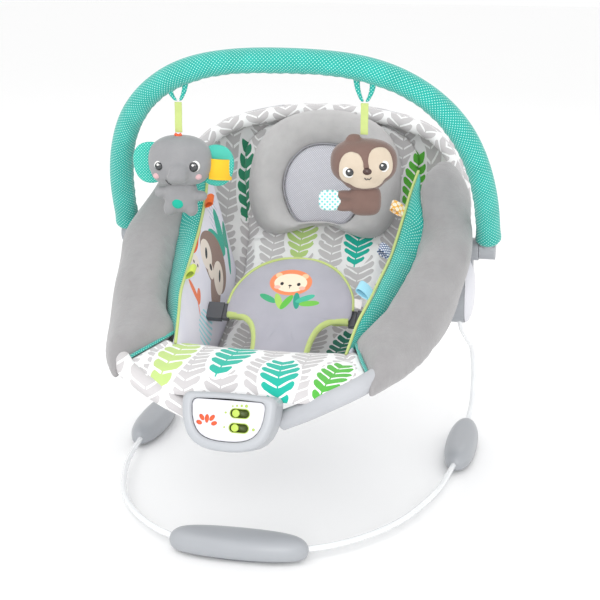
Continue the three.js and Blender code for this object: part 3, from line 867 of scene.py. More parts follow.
def make_gusset(side, sign, material):
    """Dotted knit between the piping and the bolster, tucked under the bolster's edge."""
    top = catmull(PIPING, WING_ROWS)
    seam = catmull(INNER[3:12], WING_ROWS) + [0, 0, -1.5]
    rings = []
    for k in range(WING_ROWS):
        full = math.sin(math.pi * (k + 0.5) / WING_ROWS) ** 0.6
        reach = min(1, 0.25 + full)
        a, b = top[k] + [1, 0, 0], top[k] + (seam[k] - top[k]) * reach + [7 * full, 0, -2 * full]
        up = np.array([-0.25, -0.35, 0.9])
        ring = [a, a * 0.75 + b * 0.25 + up * 5 * full, a * 0.5 + b * 0.5 + up * 7 * full,
                a * 0.25 + b * 0.75 + up * 5 * full, b + [0, 0, -1], b + [0, 0, -9 * full],
                a * 0.5 + b * 0.5 - up * 11 * full, a + [1, 0, -9 * full]]
        rings.append(catmull(ring, 20, closed=True))
    gusset = outward(loft(f"wing_gusset_{side}", on_side(rings, sign), material))
    around = np.tile(np.linspace(0, 0.06, 20), WING_ROWS)
    set_uv(gusset, np.stack([around, coordinates(gusset)[:, 1] * 1.1], 1))
    crease(gusset, 0.018, 5.0, [0, 0, 0.0008])
    subdivide(gusset)
    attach(gusset, "seat")


def make_edges(side, sign, trim, knit, roll_cloth):
    """Piping of the wing, piping of the bolster's front and the printed roll beside the cushion."""
    top = catmull(PIPING, WING_ROWS)
    piping = tube(f"wing_piping_{side}", on_side(top + [0, 0, 1], sign), 0.0018, trim)
    edge = catmull([(134.5, -206, 200.5), *INNER[1:4]], 24)
    front = tube(f"front_piping_{side}", on_side(edge + [0, 0, 2.5], sign), 0.0021, knit)
    roll_line = edge[:18] + [-7, 0, -8]
    roll = tube(f"front_roll_{side}", on_side(roll_line, sign), 0.0095, roll_cloth, sides=20)
    print_by_profile(roll)
    for piece, slot in ((piping, "lime_webbing"), (front, "teal_knit"), (roll, "print_cotton")):
        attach(piece, "seat")


FRONT_RAIL = [
    # frame tube from the control unit to the front end of the bolster
    (44, -226, 155.5), (53, -226, 159.5), (75, -226, 170), (100, -227, 184), (125, -217, 196),
    (143, -193, 202),
]


def make_front_sleeve(side, sign, material):
    """Cloth sleeve round the front tube, between the control unit and the bolster."""
    piece = tube(f"front_sleeve_{side}", on_side(catmull(FRONT_RAIL, 40), sign), 0.0106, material,
                 sides=24)
    lay_flat(piece, shift=-0.192)
    crease(piece, 0.03, 8.0, [0, 0.0006, 0.0006])
    subdivide(piece)
    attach(piece, "seat")


# ---- head pillow ----

PILLOW_LEAN = math.radians(19)
PILLOW_FOOT = np.array([3.0, 205, 258.0])
PANEL_MIDDLE = np.array([0, 62])


def pillow_place(points, lift):
    """From the pillow's flat outline (across, up) to the row frame; lift is towards the baby."""
    up = np.array([0, math.sin(PILLOW_LEAN), math.cos(PILLOW_LEAN)])
    out = np.array([0, -math.cos(PILLOW_LEAN), math.sin(PILLOW_LEAN)])
    base = PILLOW_FOOT + points[:, :1] * [1, 0, 0] + points[:, 1:2] * up
    return (base + lift * out) * MM


PILLOW_HALF = [(0, 166), (41, 160), (77, 141), (98, 108), (104, 68), (100, 29), (84, 2), (60, -5),
               (36, 1), (16, 8), (0, 9)]
INSERT_HALF = [(0, 118), (28, 112), (48, 90), (54, 62), (48, 38), (38, 20), (28, 12), (12, 13),
               (0, 14)]


def full_outline(half, count):
    """Closed outline from its right half, listed from the top to the bottom."""
    left = [(-x, y) for x, y in half[-2:0:-1]]
    return catmull(list(half) + left, count, closed=True)


def make_pillow(soft, mesh_cloth, seam):
    """A fat horseshoe of plush round a flat mesh panel."""
    count = 72
    outline, hole = full_outline(PILLOW_HALF, count), full_outline(INSERT_HALF, count)
    section = ((0.0, 6), (0.04, 16), (0.2, 27), (0.45, 32), (0.72, 28), (0.93, 18), (1.0, 10),
               (0.8, 2), (0.4, 0), (0.1, 1))
    rings = [pillow_place(outline * (1 - t) + hole * t, lift) for t, lift in section]
    ring = outward(add_piece("pillow_ring", np.vstack(rings), hoop_faces(len(rings), count), soft))
    inflate(ring, 0.0045, 0.006, pressure=4.0)
    crease(ring, 0.045, 1.0, [0, -0.0009, 0.0004])

    section = ((0.1, 5), (1.0, 5), (1.0, 12.5), (0.96, 15.5), (0.8, 18), (0.5, 20), (0.25, 21),
               (0.1, 21))
    rings = [pillow_place(hole * t + PANEL_MIDDLE * (1 - t), lift) for t, lift in section]
    panel = outward(loft("pillow_panel", rings, mesh_cloth))
    lay_flat(panel, stretch=1.05)
    subdivide(panel)
    line = tube("pillow_seam", pillow_place(hole, 16.5), 0.0008, seam, sides=6, closed=True)
    for piece in (ring, panel, line):
        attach(piece, "seat")
    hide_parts("head_pillow")


# ---- bib between the legs, its trim and the waist straps ----

BIB_LEAN = math.radians(37)
BIB_FOOT = np.array([0, -44, 170.0])
BIB_HALF = [(0, 150), (24, 147), (46, 136), (62, 119), (74, 96), (78, 74), (75, 57), (56, 54),
            (43, 44), (36, 28), (33, 8), (33, -8), (16, -9), (0, -9)]


def bib_place(points, lift):
    """From the bib's flat outline (across, up) to the row frame; the top rolls back a little."""
    flat = np.asarray(points, float)
    up = np.array([0, math.cos(BIB_LEAN), math.sin(BIB_LEAN)])
    out = np.array([0, -math.sin(BIB_LEAN), math.cos(BIB_LEAN)])
    bend = np.maximum(flat[:, 1] - 95, 0) ** 2 * 0.0016 + (np.abs(flat[:, 0]) / 78) ** 2 * 5
    base = BIB_FOOT + flat[:, :1] * [1, 0, 0] + flat[:, 1:2] * up
    return (base + (lift - bend)[:, None] * out) * MM


def make_bib(cloth, trim, tag_cloth):
    """Thin padded panel between the legs, its bound edges and a blank tag."""
    outline = full_outline(BIB_HALF, 110)
    rings = []
    for t, lift in ((0.14, 2.6), (0.3, 2.6), (0.6, 2.2), (0.85, 1.0), (0.96, -0.4), (1.0, -2.6),
                    (0.96, -5.0), (0.6, -6.0), (0.14, -6.0)):
        centre = np.stack([outline[:, 0] * 0.3, np.clip(outline[:, 1], 20, 100)], 1)
        rings.append(bib_place(outline * t + centre * (1 - t), lift))
    piece = outward(loft("bib", rings, cloth))
    p = coordinates(piece) / MM
    height = (p - BIB_FOOT) @ [0, math.cos(BIB_LEAN), math.sin(BIB_LEAN)]
    set_uv(piece, np.stack([p[:, 0], height], 1) * MM)
    crease(piece, 0.05, 4.0, [0, -0.0007, 0.0010])
    subdivide(piece)
    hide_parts("crotch_panel")
    dome = catmull(BIB_HALF[:6], 40)
    dome = np.vstack([(dome * [-1, 1])[:0:-1], dome])
    trims = [tube("bib_trim_top", bib_place(dome, -2.2), 0.0019, trim)]
    for side, sign in both_sides():
        line = bib_place(catmull(BIB_HALF[6:12], 36) * [sign, 1], -2.2)
        trims.append(tube(f"bib_trim_{side}", line, 0.0040, trim, flat=0.7))
    tag_line = bib_place([(70, 84), (79, 86), (87, 84)], -2.0)
    tag = ribbon("bib_tag", tag_line, 0.013, (0, 0.8, 0.6), 0.0006, tag_cloth)
    for part in (piece, *trims, tag):
        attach(part, "seat")


def make_waist_straps(webbing_cloth):
    """Short lime webbing from each buckle's tongue to the edge of the bib."""
    across = (0, math.cos(BIB_LEAN), math.sin(BIB_LEAN))
    for side, sign in both_sides():
        line = [(74, 17, 198), (68, 16.4, 198.8), (61, 17.4, 197.4), (54, 17, 198)]
        strap = ribbon(f"waist_webbing_{side}", on_side(catmull(line, 16), sign), 0.020, across,
                       0.0016, webbing_cloth)
        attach(strap, f"buckle_{side}")
        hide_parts(f"waist_strap_{side}")


# ---- toy bar ----

PIVOT = np.array([0, 106, 272.0])
BAR_LEAN = math.radians(25.9)
BAR_HALF_WIDTH, BAR_RISE, BAR_POWER = 231, 264, 2.7
BAR_UP = np.array([0, -math.sin(BAR_LEAN), math.cos(BAR_LEAN)])
SLEEVE_RADIUS, SLEEVE_START = 14.6, 15


def bar_point(x):
    """Place of the bar's middle line straight above X, in millimetres."""
    share = min(1.0, abs(x) / BAR_HALF_WIDTH)
    rise = BAR_RISE * (1 - share**BAR_POWER) ** (1 / BAR_POWER)
    return PIVOT + [x, 0, 0] + BAR_UP * rise


def bar_line(start, count):
    """The bar's middle line between its two points at the height start over the pivot."""
    first = math.asin((start / BAR_RISE) ** (BAR_POWER / 2))
    points = []
    for angle in np.linspace(first, math.pi - first, 60):
        c = math.cos(angle)
        x = math.copysign(abs(c) ** (2 / BAR_POWER), c) * BAR_HALF_WIDTH
        rise = BAR_RISE * math.sin(angle) ** (2 / BAR_POWER)
        points.append(PIVOT + [x, 0, 0] + BAR_UP * rise)
    return catmull(points, count)


def make_sleeve(knit):
    """Stuffed knit sleeve with a gathered seam along the inner curve and a flared hem."""
    line = bar_line(SLEEVE_START, 240)
    ahead = unit(np.gradient(line, axis=0))
    flat_normal = unit(np.cross(BAR_UP, [1, 0, 0]))
    steps = distance_along(line)
    angle = full_turn(32)
    off = np.minimum(angle, 2 * np.pi - angle)
    seam = np.exp(-((off / 0.16) ** 2)) * -0.9
    rings, flat = [], []
    for p, a, s in zip(line, ahead, steps):
        inward = unit(np.cross(a, flat_normal))
        if inward @ (PIVOT + BAR_UP * 90 - p) < 0:
            inward = -inward
        end = min(s, steps[-1] - s)
        hem = 1 + 0.10 * math.exp(-((end - 3) / 9) ** 2) - 0.16 * math.exp(-((end / 2.5) ** 2))
        pleats = 0.45 * math.sin(s / 2.1) + 0.2 * math.sin(s / 5.3)
        gather = np.exp(-((off - 0.45) / 0.35) ** 2) * pleats
        lump = 0.35 * math.sin(s / 31) * np.cos(angle * 2 + s / 47)
        radius = (SLEEVE_RADIUS * hem + seam + gather + lump)[:, None]
        rings.append(p + radius * (np.cos(angle)[:, None] * inward
                                   + np.sin(angle)[:, None] * flat_normal))
        flat += [(v * SLEEVE_RADIUS * MM, s * MM) for v in angle]
    piece = outward(loft("toy_bar_cover", np.array(rings) * MM, knit))
    set_uv(piece, flat)
    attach(piece, "toy_bar")
    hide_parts("toy_bar_sleeve")


# ---- hanging toys ----

TOYS = {"elephant": (-130.5, 457), "sloth": (93, 463)}
RIBBON_LENGTH, TOY_GAP = 36, 2.4


def toy_y(name):
    """Y of a toy's ribbon, a little behind the bar's middle line."""
    return bar_point(TOYS[name][0])[1] + 2


def make_hanger(name, knit, lime):
    """Two-legged cloth loop under the bar and the ribbon that the toy hangs from."""
    x, top = TOYS[name]
    y = toy_y(name)
    for k, side in enumerate((-1, 1)):
        bar_z = bar_point(x + side * 10)[2] - SLEEVE_RADIUS
        high = np.array([x + side * 9.5, y - 1, bar_z + 5])
        low = np.array([x + side * 2.4, y, top + 1.2])
        rings = []
        for t in np.linspace(0, 1, 9):
            p = high * (1 - t) + low * t + [side * 2.2 * math.sin(math.pi * t), 0, 0]
            wide, deep = 4.6 * (1 - t) + 2.2 * t, 3.0 * (1 - t) + 2.0 * t
            corners = [(-wide, 0), (-wide * 0.7, -deep), (wide * 0.7, -deep), (wide, 0),
                       (wide * 0.7, deep), (-wide * 0.7, deep)]
            rings.append([p + [a, b, 0] for a, b in corners])
        leg = outward(loft(f"{name}_loop_{'ab'[k]}", np.array(rings) * MM, knit))
        lay_flat(leg)
        subdivide(leg)
        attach(leg, "toy_bar")
    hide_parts(f"{name}_loop")
    z = np.linspace(top, top - RIBBON_LENGTH, 14)
    wave = 0.5 * np.sin(np.linspace(0, 2 * np.pi, 14))
    path = np.stack([np.full(14, x), y + wave, z], 1) * MM
    band = ribbon(f"{name}_ribbon_band", path, 0.0088, (1, 0, 0), 0.0014, lime)
    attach(band, f"{name}_ribbon")
    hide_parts(f"{name}_ribbon")


def ball_points(radii, power):
    """Rings of a superellipsoid round the origin, bottom to top."""
    segments = 28
    turn = full_turn(segments)
    x, y = squared(np.cos(turn), 2 / power), squared(np.sin(turn), 2 / power)
    rings = []
    for v in np.linspace(-0.97, 0.97, 16) * math.pi / 2:
        wide, high = math.cos(v) ** (2 / power), squared(math.sin(v), 2 / power)
        rings.append(np.stack([x * wide * radii[0], y * wide * radii[1],
                               np.full(segments, high * radii[2])], 1))
    return np.array(rings)


def blob(name, centre, radii, material, power=2.2, tilt=0.0):
    """A stuffed lump; tilt turns it in the plane the toy faces."""
    rings = ball_points(radii, power)
    c, s = math.cos(math.radians(tilt)), math.sin(math.radians(tilt))
    x, z = rings[..., 0] * c + rings[..., 2] * s, rings[..., 2] * c - rings[..., 0] * s
    rings = np.stack([x, rings[..., 1], z], -1) + centre
    return outward(loft(name, rings * MM, material))


def stuffed(name, at, material, *lumps):
    """Lumps melted into one body; each gives its middle, half sizes and blob's other values."""
    parts = [blob(f"{name}_lump", at(*middle), radii, material, *shape)
             for middle, radii, *shape in lumps]
    bpy.ops.object.select_all(action="DESELECT")
    for part in parts:
        part.select_set(True)
    bpy.context.view_layer.objects.active = parts[0]
    bpy.ops.object.join()
    piece = bpy.context.view_layer.objects.active
    piece.name = piece.data.name = name
    remeshed(piece, 0.0019)
    return relaxed(piece, 6)


def patch(name, x, z, radius, surface_y, material, squash=1.0, bulge=0.8):
    """A small domed patch facing the front, such as an eye or a cheek."""
    turn = full_turn(24)
    rings = []
    for t, rise in ((1.0, -2.0), (1.0, 0.0), (0.85, bulge * 0.5), (0.5, bulge * 0.85), (0.05, bulge)):
        rings.append(np.stack([x + np.cos(turn) * radius * t, np.full(24, surface_y - rise),
                               z + np.sin(turn) * radius * squash * t], 1))
    return outward(loft(name, np.array(rings) * MM, material))


def front_of(piece, x, z):
    """Y of the piece's front surface at (x, z), in millimetres."""
    p = coordinates(piece) / MM
    near = np.hypot(p[:, 0] - x, p[:, 2] - z)
    close = p[near < max(2.2, near.min() + 0.8)]
    return close[:, 1].min()


def finish_toy(body, pieces, degrees):
    """Turns a toy on its ribbon and fixes its pieces to their body."""
    pivot = np.array([TOYS[body][0], toy_y(body), 0]) * MM
    c, s = math.cos(math.radians(degrees)), math.sin(math.radians(degrees))
    turn = np.array([[c, s, 0], [-s, c, 0], [0, 0, 1]])
    for piece in pieces:
        set_coordinates(piece, (coordinates(piece) - pivot) @ turn + pivot)
        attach(piece, body)


def toy_frame(name, head_drop):
    """From a toy's own frame, whose origin is the middle of its head, to the row frame."""
    x, top = TOYS[name]
    origin = np.array([x, toy_y(name), top - RIBBON_LENGTH - TOY_GAP - head_drop])
    return lambda across, out, up: origin + [across, out, up]


def patches(toy, side, at, surface, x, z, rows):
    """Patches round one eye: part, offset, radius, rise, cloth, squash and bulge of each."""
    eye_x, _, eye_z = at(x, 0, z)
    eye_y = front_of(surface, eye_x, eye_z)
    return [patch(f"{toy}_{part}_{side}", eye_x + dx, eye_z + dz, radius, eye_y + back, paint,
                  squash, bulge)
            for part, dx, dz, radius, back, paint, squash, bulge in rows]


def stitched_line(name, at, surface, points, count, radius, thread):
    """A thread laid on the front of a toy's face through points (across, up)."""
    places = [at(x, 0, z) for x, z in points]
    line = [(x, front_of(surface, x, z) - 0.2, z) for x, _, z in places]
    return tube(name, catmull(line, count) * MM, radius, thread, sides=6)


def make_elephant(grey, teal, paints):
    """Hanging elephant with knit ears, a stitched crown and a ribbon folded over one ear."""
    at = toy_frame("elephant", 31)
    face = stuffed("elephant_head", at, grey,
                   ((1, 0, 0), (38.5, 21, 30.5), 2.4), ((-9, -2, -13), (25, 17, 16)),
                   ((11, -2, -13), (25, 17, 16)), ((3, -19, -12), (12, 10, 12), 2.4),
                   ((-3, -22, -17), (8, 8, 6.5)))
    body = stuffed("elephant_body", at, grey,
                   ((1, 1, -43), (20, 13.5, 20), 2.8), ((-12.5, -1, -58), (8, 9, 9.5)),
                   ((13.5, -1, -58), (8, 9, 9.5)), ((-23, -3, -38), (7.5, 7, 7)),
                   ((25, -3, -42), (8.5, 7, 6.5)))
    ears = [
        blob("elephant_ear_left", at(-36, 4, -4), (21, 4.2, 25), teal, 2.3, -8),
        blob("elephant_ear_right", at(44, 4, -6), (21, 4.2, 25), teal, 2.3, 8),
    ]
    for ear in ears:
        lay_flat(ear)
    pieces = [face, body, *ears]
    small = []
    for side, sign, white, black in (("left", -1, 6.0, 4.6), ("right", 1, 7.0, 5.5)):
        small += patches("elephant", side, at, face, sign * 21, -3.5, (
            ("eye_white", 0, 0, white, 1.0, paints["white"], 1, 1.8),
            ("eye", -0.4, -0.8, black, -0.6, paints["black"], 1.08, 1.5),
            ("glint", -1.2, 1.4, 1.5, -1.9, paints["white"], 1, 0.6),
            ("cheek", sign * 4.0, -13, 4.3, 4.0, paints["pink"], 0.85, 2.6),
        ))
    x, _, z = at(-1, 0, -50)
    small += [
        patch("elephant_belly", x, z, 7, front_of(body, x, z) + 0.6, paints["teal"], 0.92, 1.2),
        stitched_line("elephant_smile", at, face, [(-12, -19), (-9.5, -23), (-5.5, -25)], 12,
                      0.0006, paints["thread"]),
    ]
    stitch = [at(-4, -3.2, 31.9), at(0, -4.2, 30.2), at(4, -3.2, 31.9)]
    small.append(tube("elephant_stitch", catmull(stitch, 14) * MM, 0.0019, paints["orange"], sides=8))
    tag_path = [at(36, -3, -9), at(44, -5, -9.5), at(52, -4, -10), at(60, 2, -11), at(62, 5, -11),
                at(58, 9, -11), at(48, 9.5, -10)]
    small.append(ribbon("elephant_tag", catmull(tag_path, 24) * MM, 0.025, (0.04, 0, 1), 0.0009,
                        paints["yellow"]))
    finish_toy("elephant", pieces + small, 6)
    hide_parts("elephant_toy")


def make_sloth(brown, beige, cuff, paints):
    """Hanging sloth with a pale mask and a dotted cuff on its arms."""
    at = toy_frame("sloth", 32)
    face = stuffed("sloth_head", at, brown,
                   ((0, 0, 3), (39, 21, 27), 2.5), ((0, -1, -12), (27, 17, 19)),
                   ((-14, -2, 30), (8, 5, 6), 2, -25), ((-8.5, -2, 31.5), (5.5, 4, 4.5), 2, 30))
    body = stuffed("sloth_body", at, brown,
                   ((2, 0, -42), (19, 13.5, 18), 3.2), ((-22, -6, -35), (12, 7, 5.8)),
                   ((-22, -6, -48.5), (12, 7, 5.8)))
    mask = stuffed("sloth_mask", at, beige,
                   ((-15, -15, -1), (14.5, 8, 19), 2.3, 6), ((18, -15, 4.5), (14.5, 8, 19), 2.3, -10),
                   ((2, -14.5, -14), (21, 7.5, 12)))
    # the mask hugs the face: its front keeps a fraction of its own relief, just off the plush
    p = coordinates(mask)
    depth = np.array([front_of(face, x / MM, z / MM) for x, z in p[:, [0, 2]]]) * MM
    front = p[:, 1] < depth + 0.004
    p[:, 1] = np.where(front, depth - 0.0011 + (p[:, 1] - p[:, 1].min()) * 0.02, p[:, 1])
    set_coordinates(mask, p)
    relaxed(mask, 4)
    small = []
    for side, x, z in (("left", -17.5, -5), ("right", 20.5, 1.5)):
        small += patches("sloth", side, at, mask, x, z, (
            ("eye_white", 0, 0, 7.4, 1.4, paints["white"], 1, 1.8),
            ("eye", 0.5, -0.5, 4.7, -0.3, paints["black"], 1, 1.6),
            ("glint", -0.6, 1.3, 1.3, -1.7, paints["white"], 1, 0.5),
        ))
    x, _, z = at(3, 0, -5)
    small += [
        patch("sloth_nose", x, z + 0.5, 5.6, front_of(mask, x, z) + 0.8, paints["nose"], 0.76, 3.0),
        stitched_line("sloth_smile", at, mask,
                      [(0, -12), (2.5, -14.4), (4, -13), (5.5, -14.2), (8, -11.6)], 16, 0.0005,
                      paints["thread"]),
    ]
    cuff_piece = blob("sloth_cuff", at(-39, -6, -41), (13, 6, 12), cuff, 3.2)
    lay_flat(cuff_piece)
    finish_toy("sloth", [face, body, mask, cuff_piece, *small], 12)
    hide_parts("sloth_toy")


# ---- control unit ----

UNIT_PLACE = np.array([0, -262, 164.0])
UNIT_TILT = math.radians(20)


def unit_place(points):
    """From the unit's own frame (right, up the face, out of the face) to the row frame."""
    p = np.asarray(points, float)
    up = np.array([0, math.sin(UNIT_TILT), math.cos(UNIT_TILT)])
    out = np.array([0, -math.cos(UNIT_TILT), math.sin(UNIT_TILT)])
    return (UNIT_PLACE + p[..., :1] * [1, 0, 0] + p[..., 1:2] * up + p[..., 2:3] * out) * MM


def d_outline(width, height, lift):
    """Flat top with small corners and a deep round belly."""
    w, top, low = width / 2, height / 2 + lift, lift - height / 2
    corner = height * 0.16

    def bezier(*p):
        t = np.linspace(0, 1, 24)[:, None]
        a = np.array(p, float)
        if len(a) == 3:
            return a[0] * (1 - t) ** 2 + 2 * a[1] * t * (1 - t) + a[2] * t**2
        return (a[0] * (1 - t) ** 3 + 3 * a[1] * t * (1 - t) ** 2
                + 3 * a[2] * t**2 * (1 - t) + a[3] * t**3)

    half = np.vstack([
        bezier((0, low), (w * 0.62, low), (w - 1, low + height * 0.12), (w, top - corner)),
        bezier((w, top - corner), (w, top), (w - corner, top)),
        bezier((w - corner, top), (w * 0.4, top + 0.8), (0, top + 1.0)),
    ])
    whole = np.vstack([half, (half * [-1, 1])[::-1]])
    keep = np.concatenate([[True], np.linalg.norm(np.diff(whole, axis=0), axis=1) > 0.02])
    return catmull(whole[keep][:-1], 96, closed=True)


UNIT_LEVELS = [
    # the front shell from its back edge over the rim into the face's recess: width, height, lift, z
    (96, 56, 0, 2.5), (99.4, 59.4, 0, 2.5), (100, 60, 0, 3.2), (100, 60, 0, 9.0),
    (98.6, 58.8, 0, 13.0), (95.5, 56.2, 0.2, 15.2), (91, 52.6, 0.6, 16.0), (84, 47.6, 1.4, 16.0),
    (80.2, 44.8, 1.9, 15.4), (78.6, 43.5, 2, 14.0), (78.6, 43.5, 2, 4.0),
]
SWITCH_X, SWITCH_REACH = 12.5, 5.5
SWITCH_ROWS = {"upper": 10.5, "lower": -4.5}
DOTS = [
    # across, up, radius
    (-2.5, 10.5, 1.1), (4.5, 17.6, 0.9), (9, 18.3, 1.1), (14, 18.6, 1.3), (19, 18.6, 1.6),
    (-3, -4.5, 1.0), (28, -5, 1.5),
]
SPRIG = [
    # across, up, lean in degrees, length
    (-22, 3, 0, 9), (-27.5, 4, 38, 7.5), (-16.5, 4, -38, 7.5), (-30, -1.5, 70, 6.5),
    (-14, -1.5, -70, 6.5),
]
MARK_TOP, MARK_DEPTH = 12.7, 0.5
WELL_TOP, WELL_DEPTH = 10.8, 0.8


def slot_outline(y, radius):
    """Outline round a switch's slot, whose two ends are half circles."""
    turn = full_turn(40) + 0.02
    ends = SWITCH_X + np.copysign(SWITCH_REACH, np.cos(turn))
    return np.stack([ends + radius * np.cos(turn), y + radius * np.sin(turn)], 1)


def mark(name, outline, material, top=MARK_TOP, depth=MARK_DEPTH):
    """A thin plate with a flat outline, parallel to the unit's face."""
    rings = [unit_place(np.column_stack([outline, np.full(len(outline), z)]))
             for z in (top, top - depth)]
    return outward(loft(name, rings, material))


def make_unit(grey, olive, print_orange, lime):
    """Rounded front shell of the control unit and the marks on its face."""
    rings = []
    for width, height, lift, z in UNIT_LEVELS:
        flat = d_outline(width, height, lift)
        rings.append(unit_place(np.column_stack([flat, np.full(len(flat), z)])))
    faces = hoop_faces(len(rings), len(rings[0]))
    shell = outward(add_piece("unit_front_shell", np.vstack(rings), faces, grey))
    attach(shell, "seat")
    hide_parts("control_bezel")
    marks = []
    for row, y in SWITCH_ROWS.items():
        rim = slot_outline(y, 4.9)
        rim = unit_place(np.column_stack([rim, np.full(len(rim), 12.6)]))
        marks.append(tube(f"switch_rim_{row}", rim, 0.0005, lime, sides=6, closed=True))
        marks.append(mark(f"switch_well_{row}", slot_outline(y, 4.4), olive, WELL_TOP, WELL_DEPTH))
    turn = full_turn(16)
    for k, (x, y, radius) in enumerate(DOTS):
        disc = np.stack([x + radius * np.cos(turn), y + radius * np.sin(turn)], 1)
        marks.append(mark(f"unit_dot_{k}", disc, lime))
    turn = full_turn(24)
    for k, (x, y, lean, length) in enumerate(SPRIG):
        c, s = math.cos(math.radians(lean)), math.sin(math.radians(lean))
        u, v = 2.2 * np.cos(turn), length / 2 * np.sin(turn)
        leaf = np.stack([x + u * c - v * s, y + u * s + v * c], 1)
        marks.append(mark(f"unit_sprig_{k}", leaf, print_orange))
    for piece in marks:
        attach(piece, "seat")


# ---- feet ----


FOOT_LEVELS = [
    # share of the full width, height over the floor
    (0.80, 4.4), (0.90, 5.0), (0.965, 8.0), (1.0, 12.5), (0.985, 16.5), (0.93, 20.5), (0.82, 24.3),
    (0.64, 27.2), (0.40, 28.7), (0.15, 29.0),
]


def make_foot(name, node, centre, length, width, along_y, plastic):
    """A smooth pebble over the wire, above the foot's rubber sole."""
    count = 72
    turn = full_turn(count)
    u, v = squared(np.cos(turn), 0.86), squared(np.sin(turn), 0.86)
    rings = []
    for t, z in FOOT_LEVELS:
        narrow = 1 - (1 - t) * 0.42
        x, y = u * length / 2 * narrow, v * width / 2 * t
        if along_y:
            x, y = y, x
        rings.append(np.stack([centre[0] + x, centre[1] + y, np.full(count, z)], 1) * MM)
    pebble = outward(loft(name, rings, plastic))
    subdivide(pebble)
    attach(pebble, "base")
    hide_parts(node)


# ---- small loops of ribbon on the wings ----

TAGS = [
    # colour, sign of X, share of the piping's length from its front end, width, reach
    ("lime", -1, 0.37, 16, 15), ("orange", -1, 0.80, 14, 15), ("gold", 1, 0.80, 14, 20),
    ("navy", 1, 0.56, 15, 18), ("blue", 1, 0.30, 17, 20),
]
TAG_STEPS = 60


def make_tags(cloths):
    """Folded ribbon loops sewn into the piping."""
    top = catmull(PIPING, TAG_STEPS)
    for colour, sign, share, width, reach in TAGS:
        k = int(share * (TAG_STEPS - 1))
        p = top[k]
        edge = unit(top[k + 1] - top[k - 1])
        away = np.array([-0.75, -0.30, 0.55])
        away = unit(away - edge * (away @ edge))
        bow = unit(np.cross(edge, away))
        loop = [(0, 0), (0.45, 3.2), (0.9, 3.0), (1, 0), (0.9, -3.0), (0.45, -3.2), (0, -0.6)]
        path = [p + away * reach * far + bow * open_by for far, open_by in loop]
        line = on_side(catmull(path, 26), sign)
        piece = ribbon(f"tag_{colour}", line, width * MM, edge * [sign, 1, 1], 0.0009, cloths[colour])
        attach(piece, "seat")


# ---- finishes of the carried-over CAD pieces ----


def dress(materials, unit_finish):
    """Gives every CAD node that stays the finish of its slot, smooth shading and soft edges."""
    slots = {s["node"]: s["material_slot"] for s in frame["record"]["subparts"]}
    for node, piece in frame["nodes"].items():
        if piece.hide_render or slots[node] not in materials:
            continue
        piece.data.materials.clear()
        finish = unit_finish if node == "control_housing" else materials[slots[node]]
        piece.data.materials.append(finish)
        piece.data.shade_smooth()
        weld = piece.modifiers.new("weld", "WELD")
        weld.merge_threshold = 0.00002
        soft = piece.modifiers.new("soft_edge", "BEVEL")
        soft.width, soft.segments, soft.limit_method = 0.0006, 2, "ANGLE"
        soft.angle_limit = math.radians(42)
        piece.modifiers.new("normals", "WEIGHTED_NORMAL").keep_sharp = True


# ---- studio ----


LIGHTS = [
    # name, place, side and power of each square light, all aimed at SEAT_MIDDLE
    ("key", (-1.3, -1.6, 2.3), 1.6, 10), ("fill", (1.9, -1.2, 1.3), 1.4, 3),
    ("front", (0.4, -2.2, 1.0), 1.2, 20), ("rim", (0.4, 1.9, 1.9), 1.4, 7),
]
SEAT_MIDDLE = Vector((0, 0, 0.22))


def make_studio():
    """A white floor and sky with four soft lights."""
    net = Net("studio_floor", 0.6)
    net.paint((0.97, 0.97, 0.97, 1))
    corners = [(-6, -5, 0), (6, -5, 0), (6, 8, 0), (-6, 8, 0)]
    add_piece("floor", corners, [(0, 1, 2, 3)], net.material)
    world = scene.world or bpy.data.worlds.new("world")
    scene.world = world
    world.use_nodes = True
    background = world.node_tree.nodes["Background"]
    background.inputs["Color"].default_value = (1.0, 1.0, 1.0, 1)
    background.inputs["Strength"].default_value = 1.0
    for name, place, size, power in LIGHTS:
        lamp = bpy.data.lights.new(name, "AREA")
        lamp.size, lamp.energy = size, power
        light = bpy.data.objects.new(name, lamp)
        scene.collection.objects.link(light)
        light.location = place
        aim = SEAT_MIDDLE - light.location
        light.rotation_euler = aim.to_track_quat("-Z", "Y").to_euler()


def make_camera():
    """Looks down on the seat from the front, a little to its right."""
    data = bpy.data.cameras.new("camera")
    data.sensor_width, data.lens = 36, 84
    camera = bpy.data.objects.new("camera", data)
    scene.collection.objects.link(camera)
    camera.location = (0.3607, -1.5769, 0.6870)
    camera.rotation_euler = (math.radians(74), 0, math.radians(12.3))
    scene.camera = camera


make_camera()
make_studio()
scene.view_settings.view_transform = "Standard"

PLUSH = plush("plush_grey", "#b9b7b7", "#a5a3a4")
# the pillow's grey plush painted darker for the bolsters: painted shade, not a different cloth
SHADED_BOLSTER_PLUSH = plush("bolster_plush_painted_shade", "#999798", "#858384")
PRINT = leaf_print("print_cotton")
KNIT = dotted_knit("teal_knit", "#10aea2", "#0b988c")
LIME = webbing("lime_webbing", "#c3d284", "#b1c272")
TAG_WHITE = plain_cloth("tag_white", "#f6f3f1", "#e9e4e2")
PLAIN = plain_cloth("plain_backing", "#b9bbbf", "#abadb2")
GREY = moulded("grey_plastic", "#a8abaf", "#9c9fa4", 0.36)
UNIT_GREY = moulded("unit_grey", "#b4b7bb", "#a8abb0", 0.36)

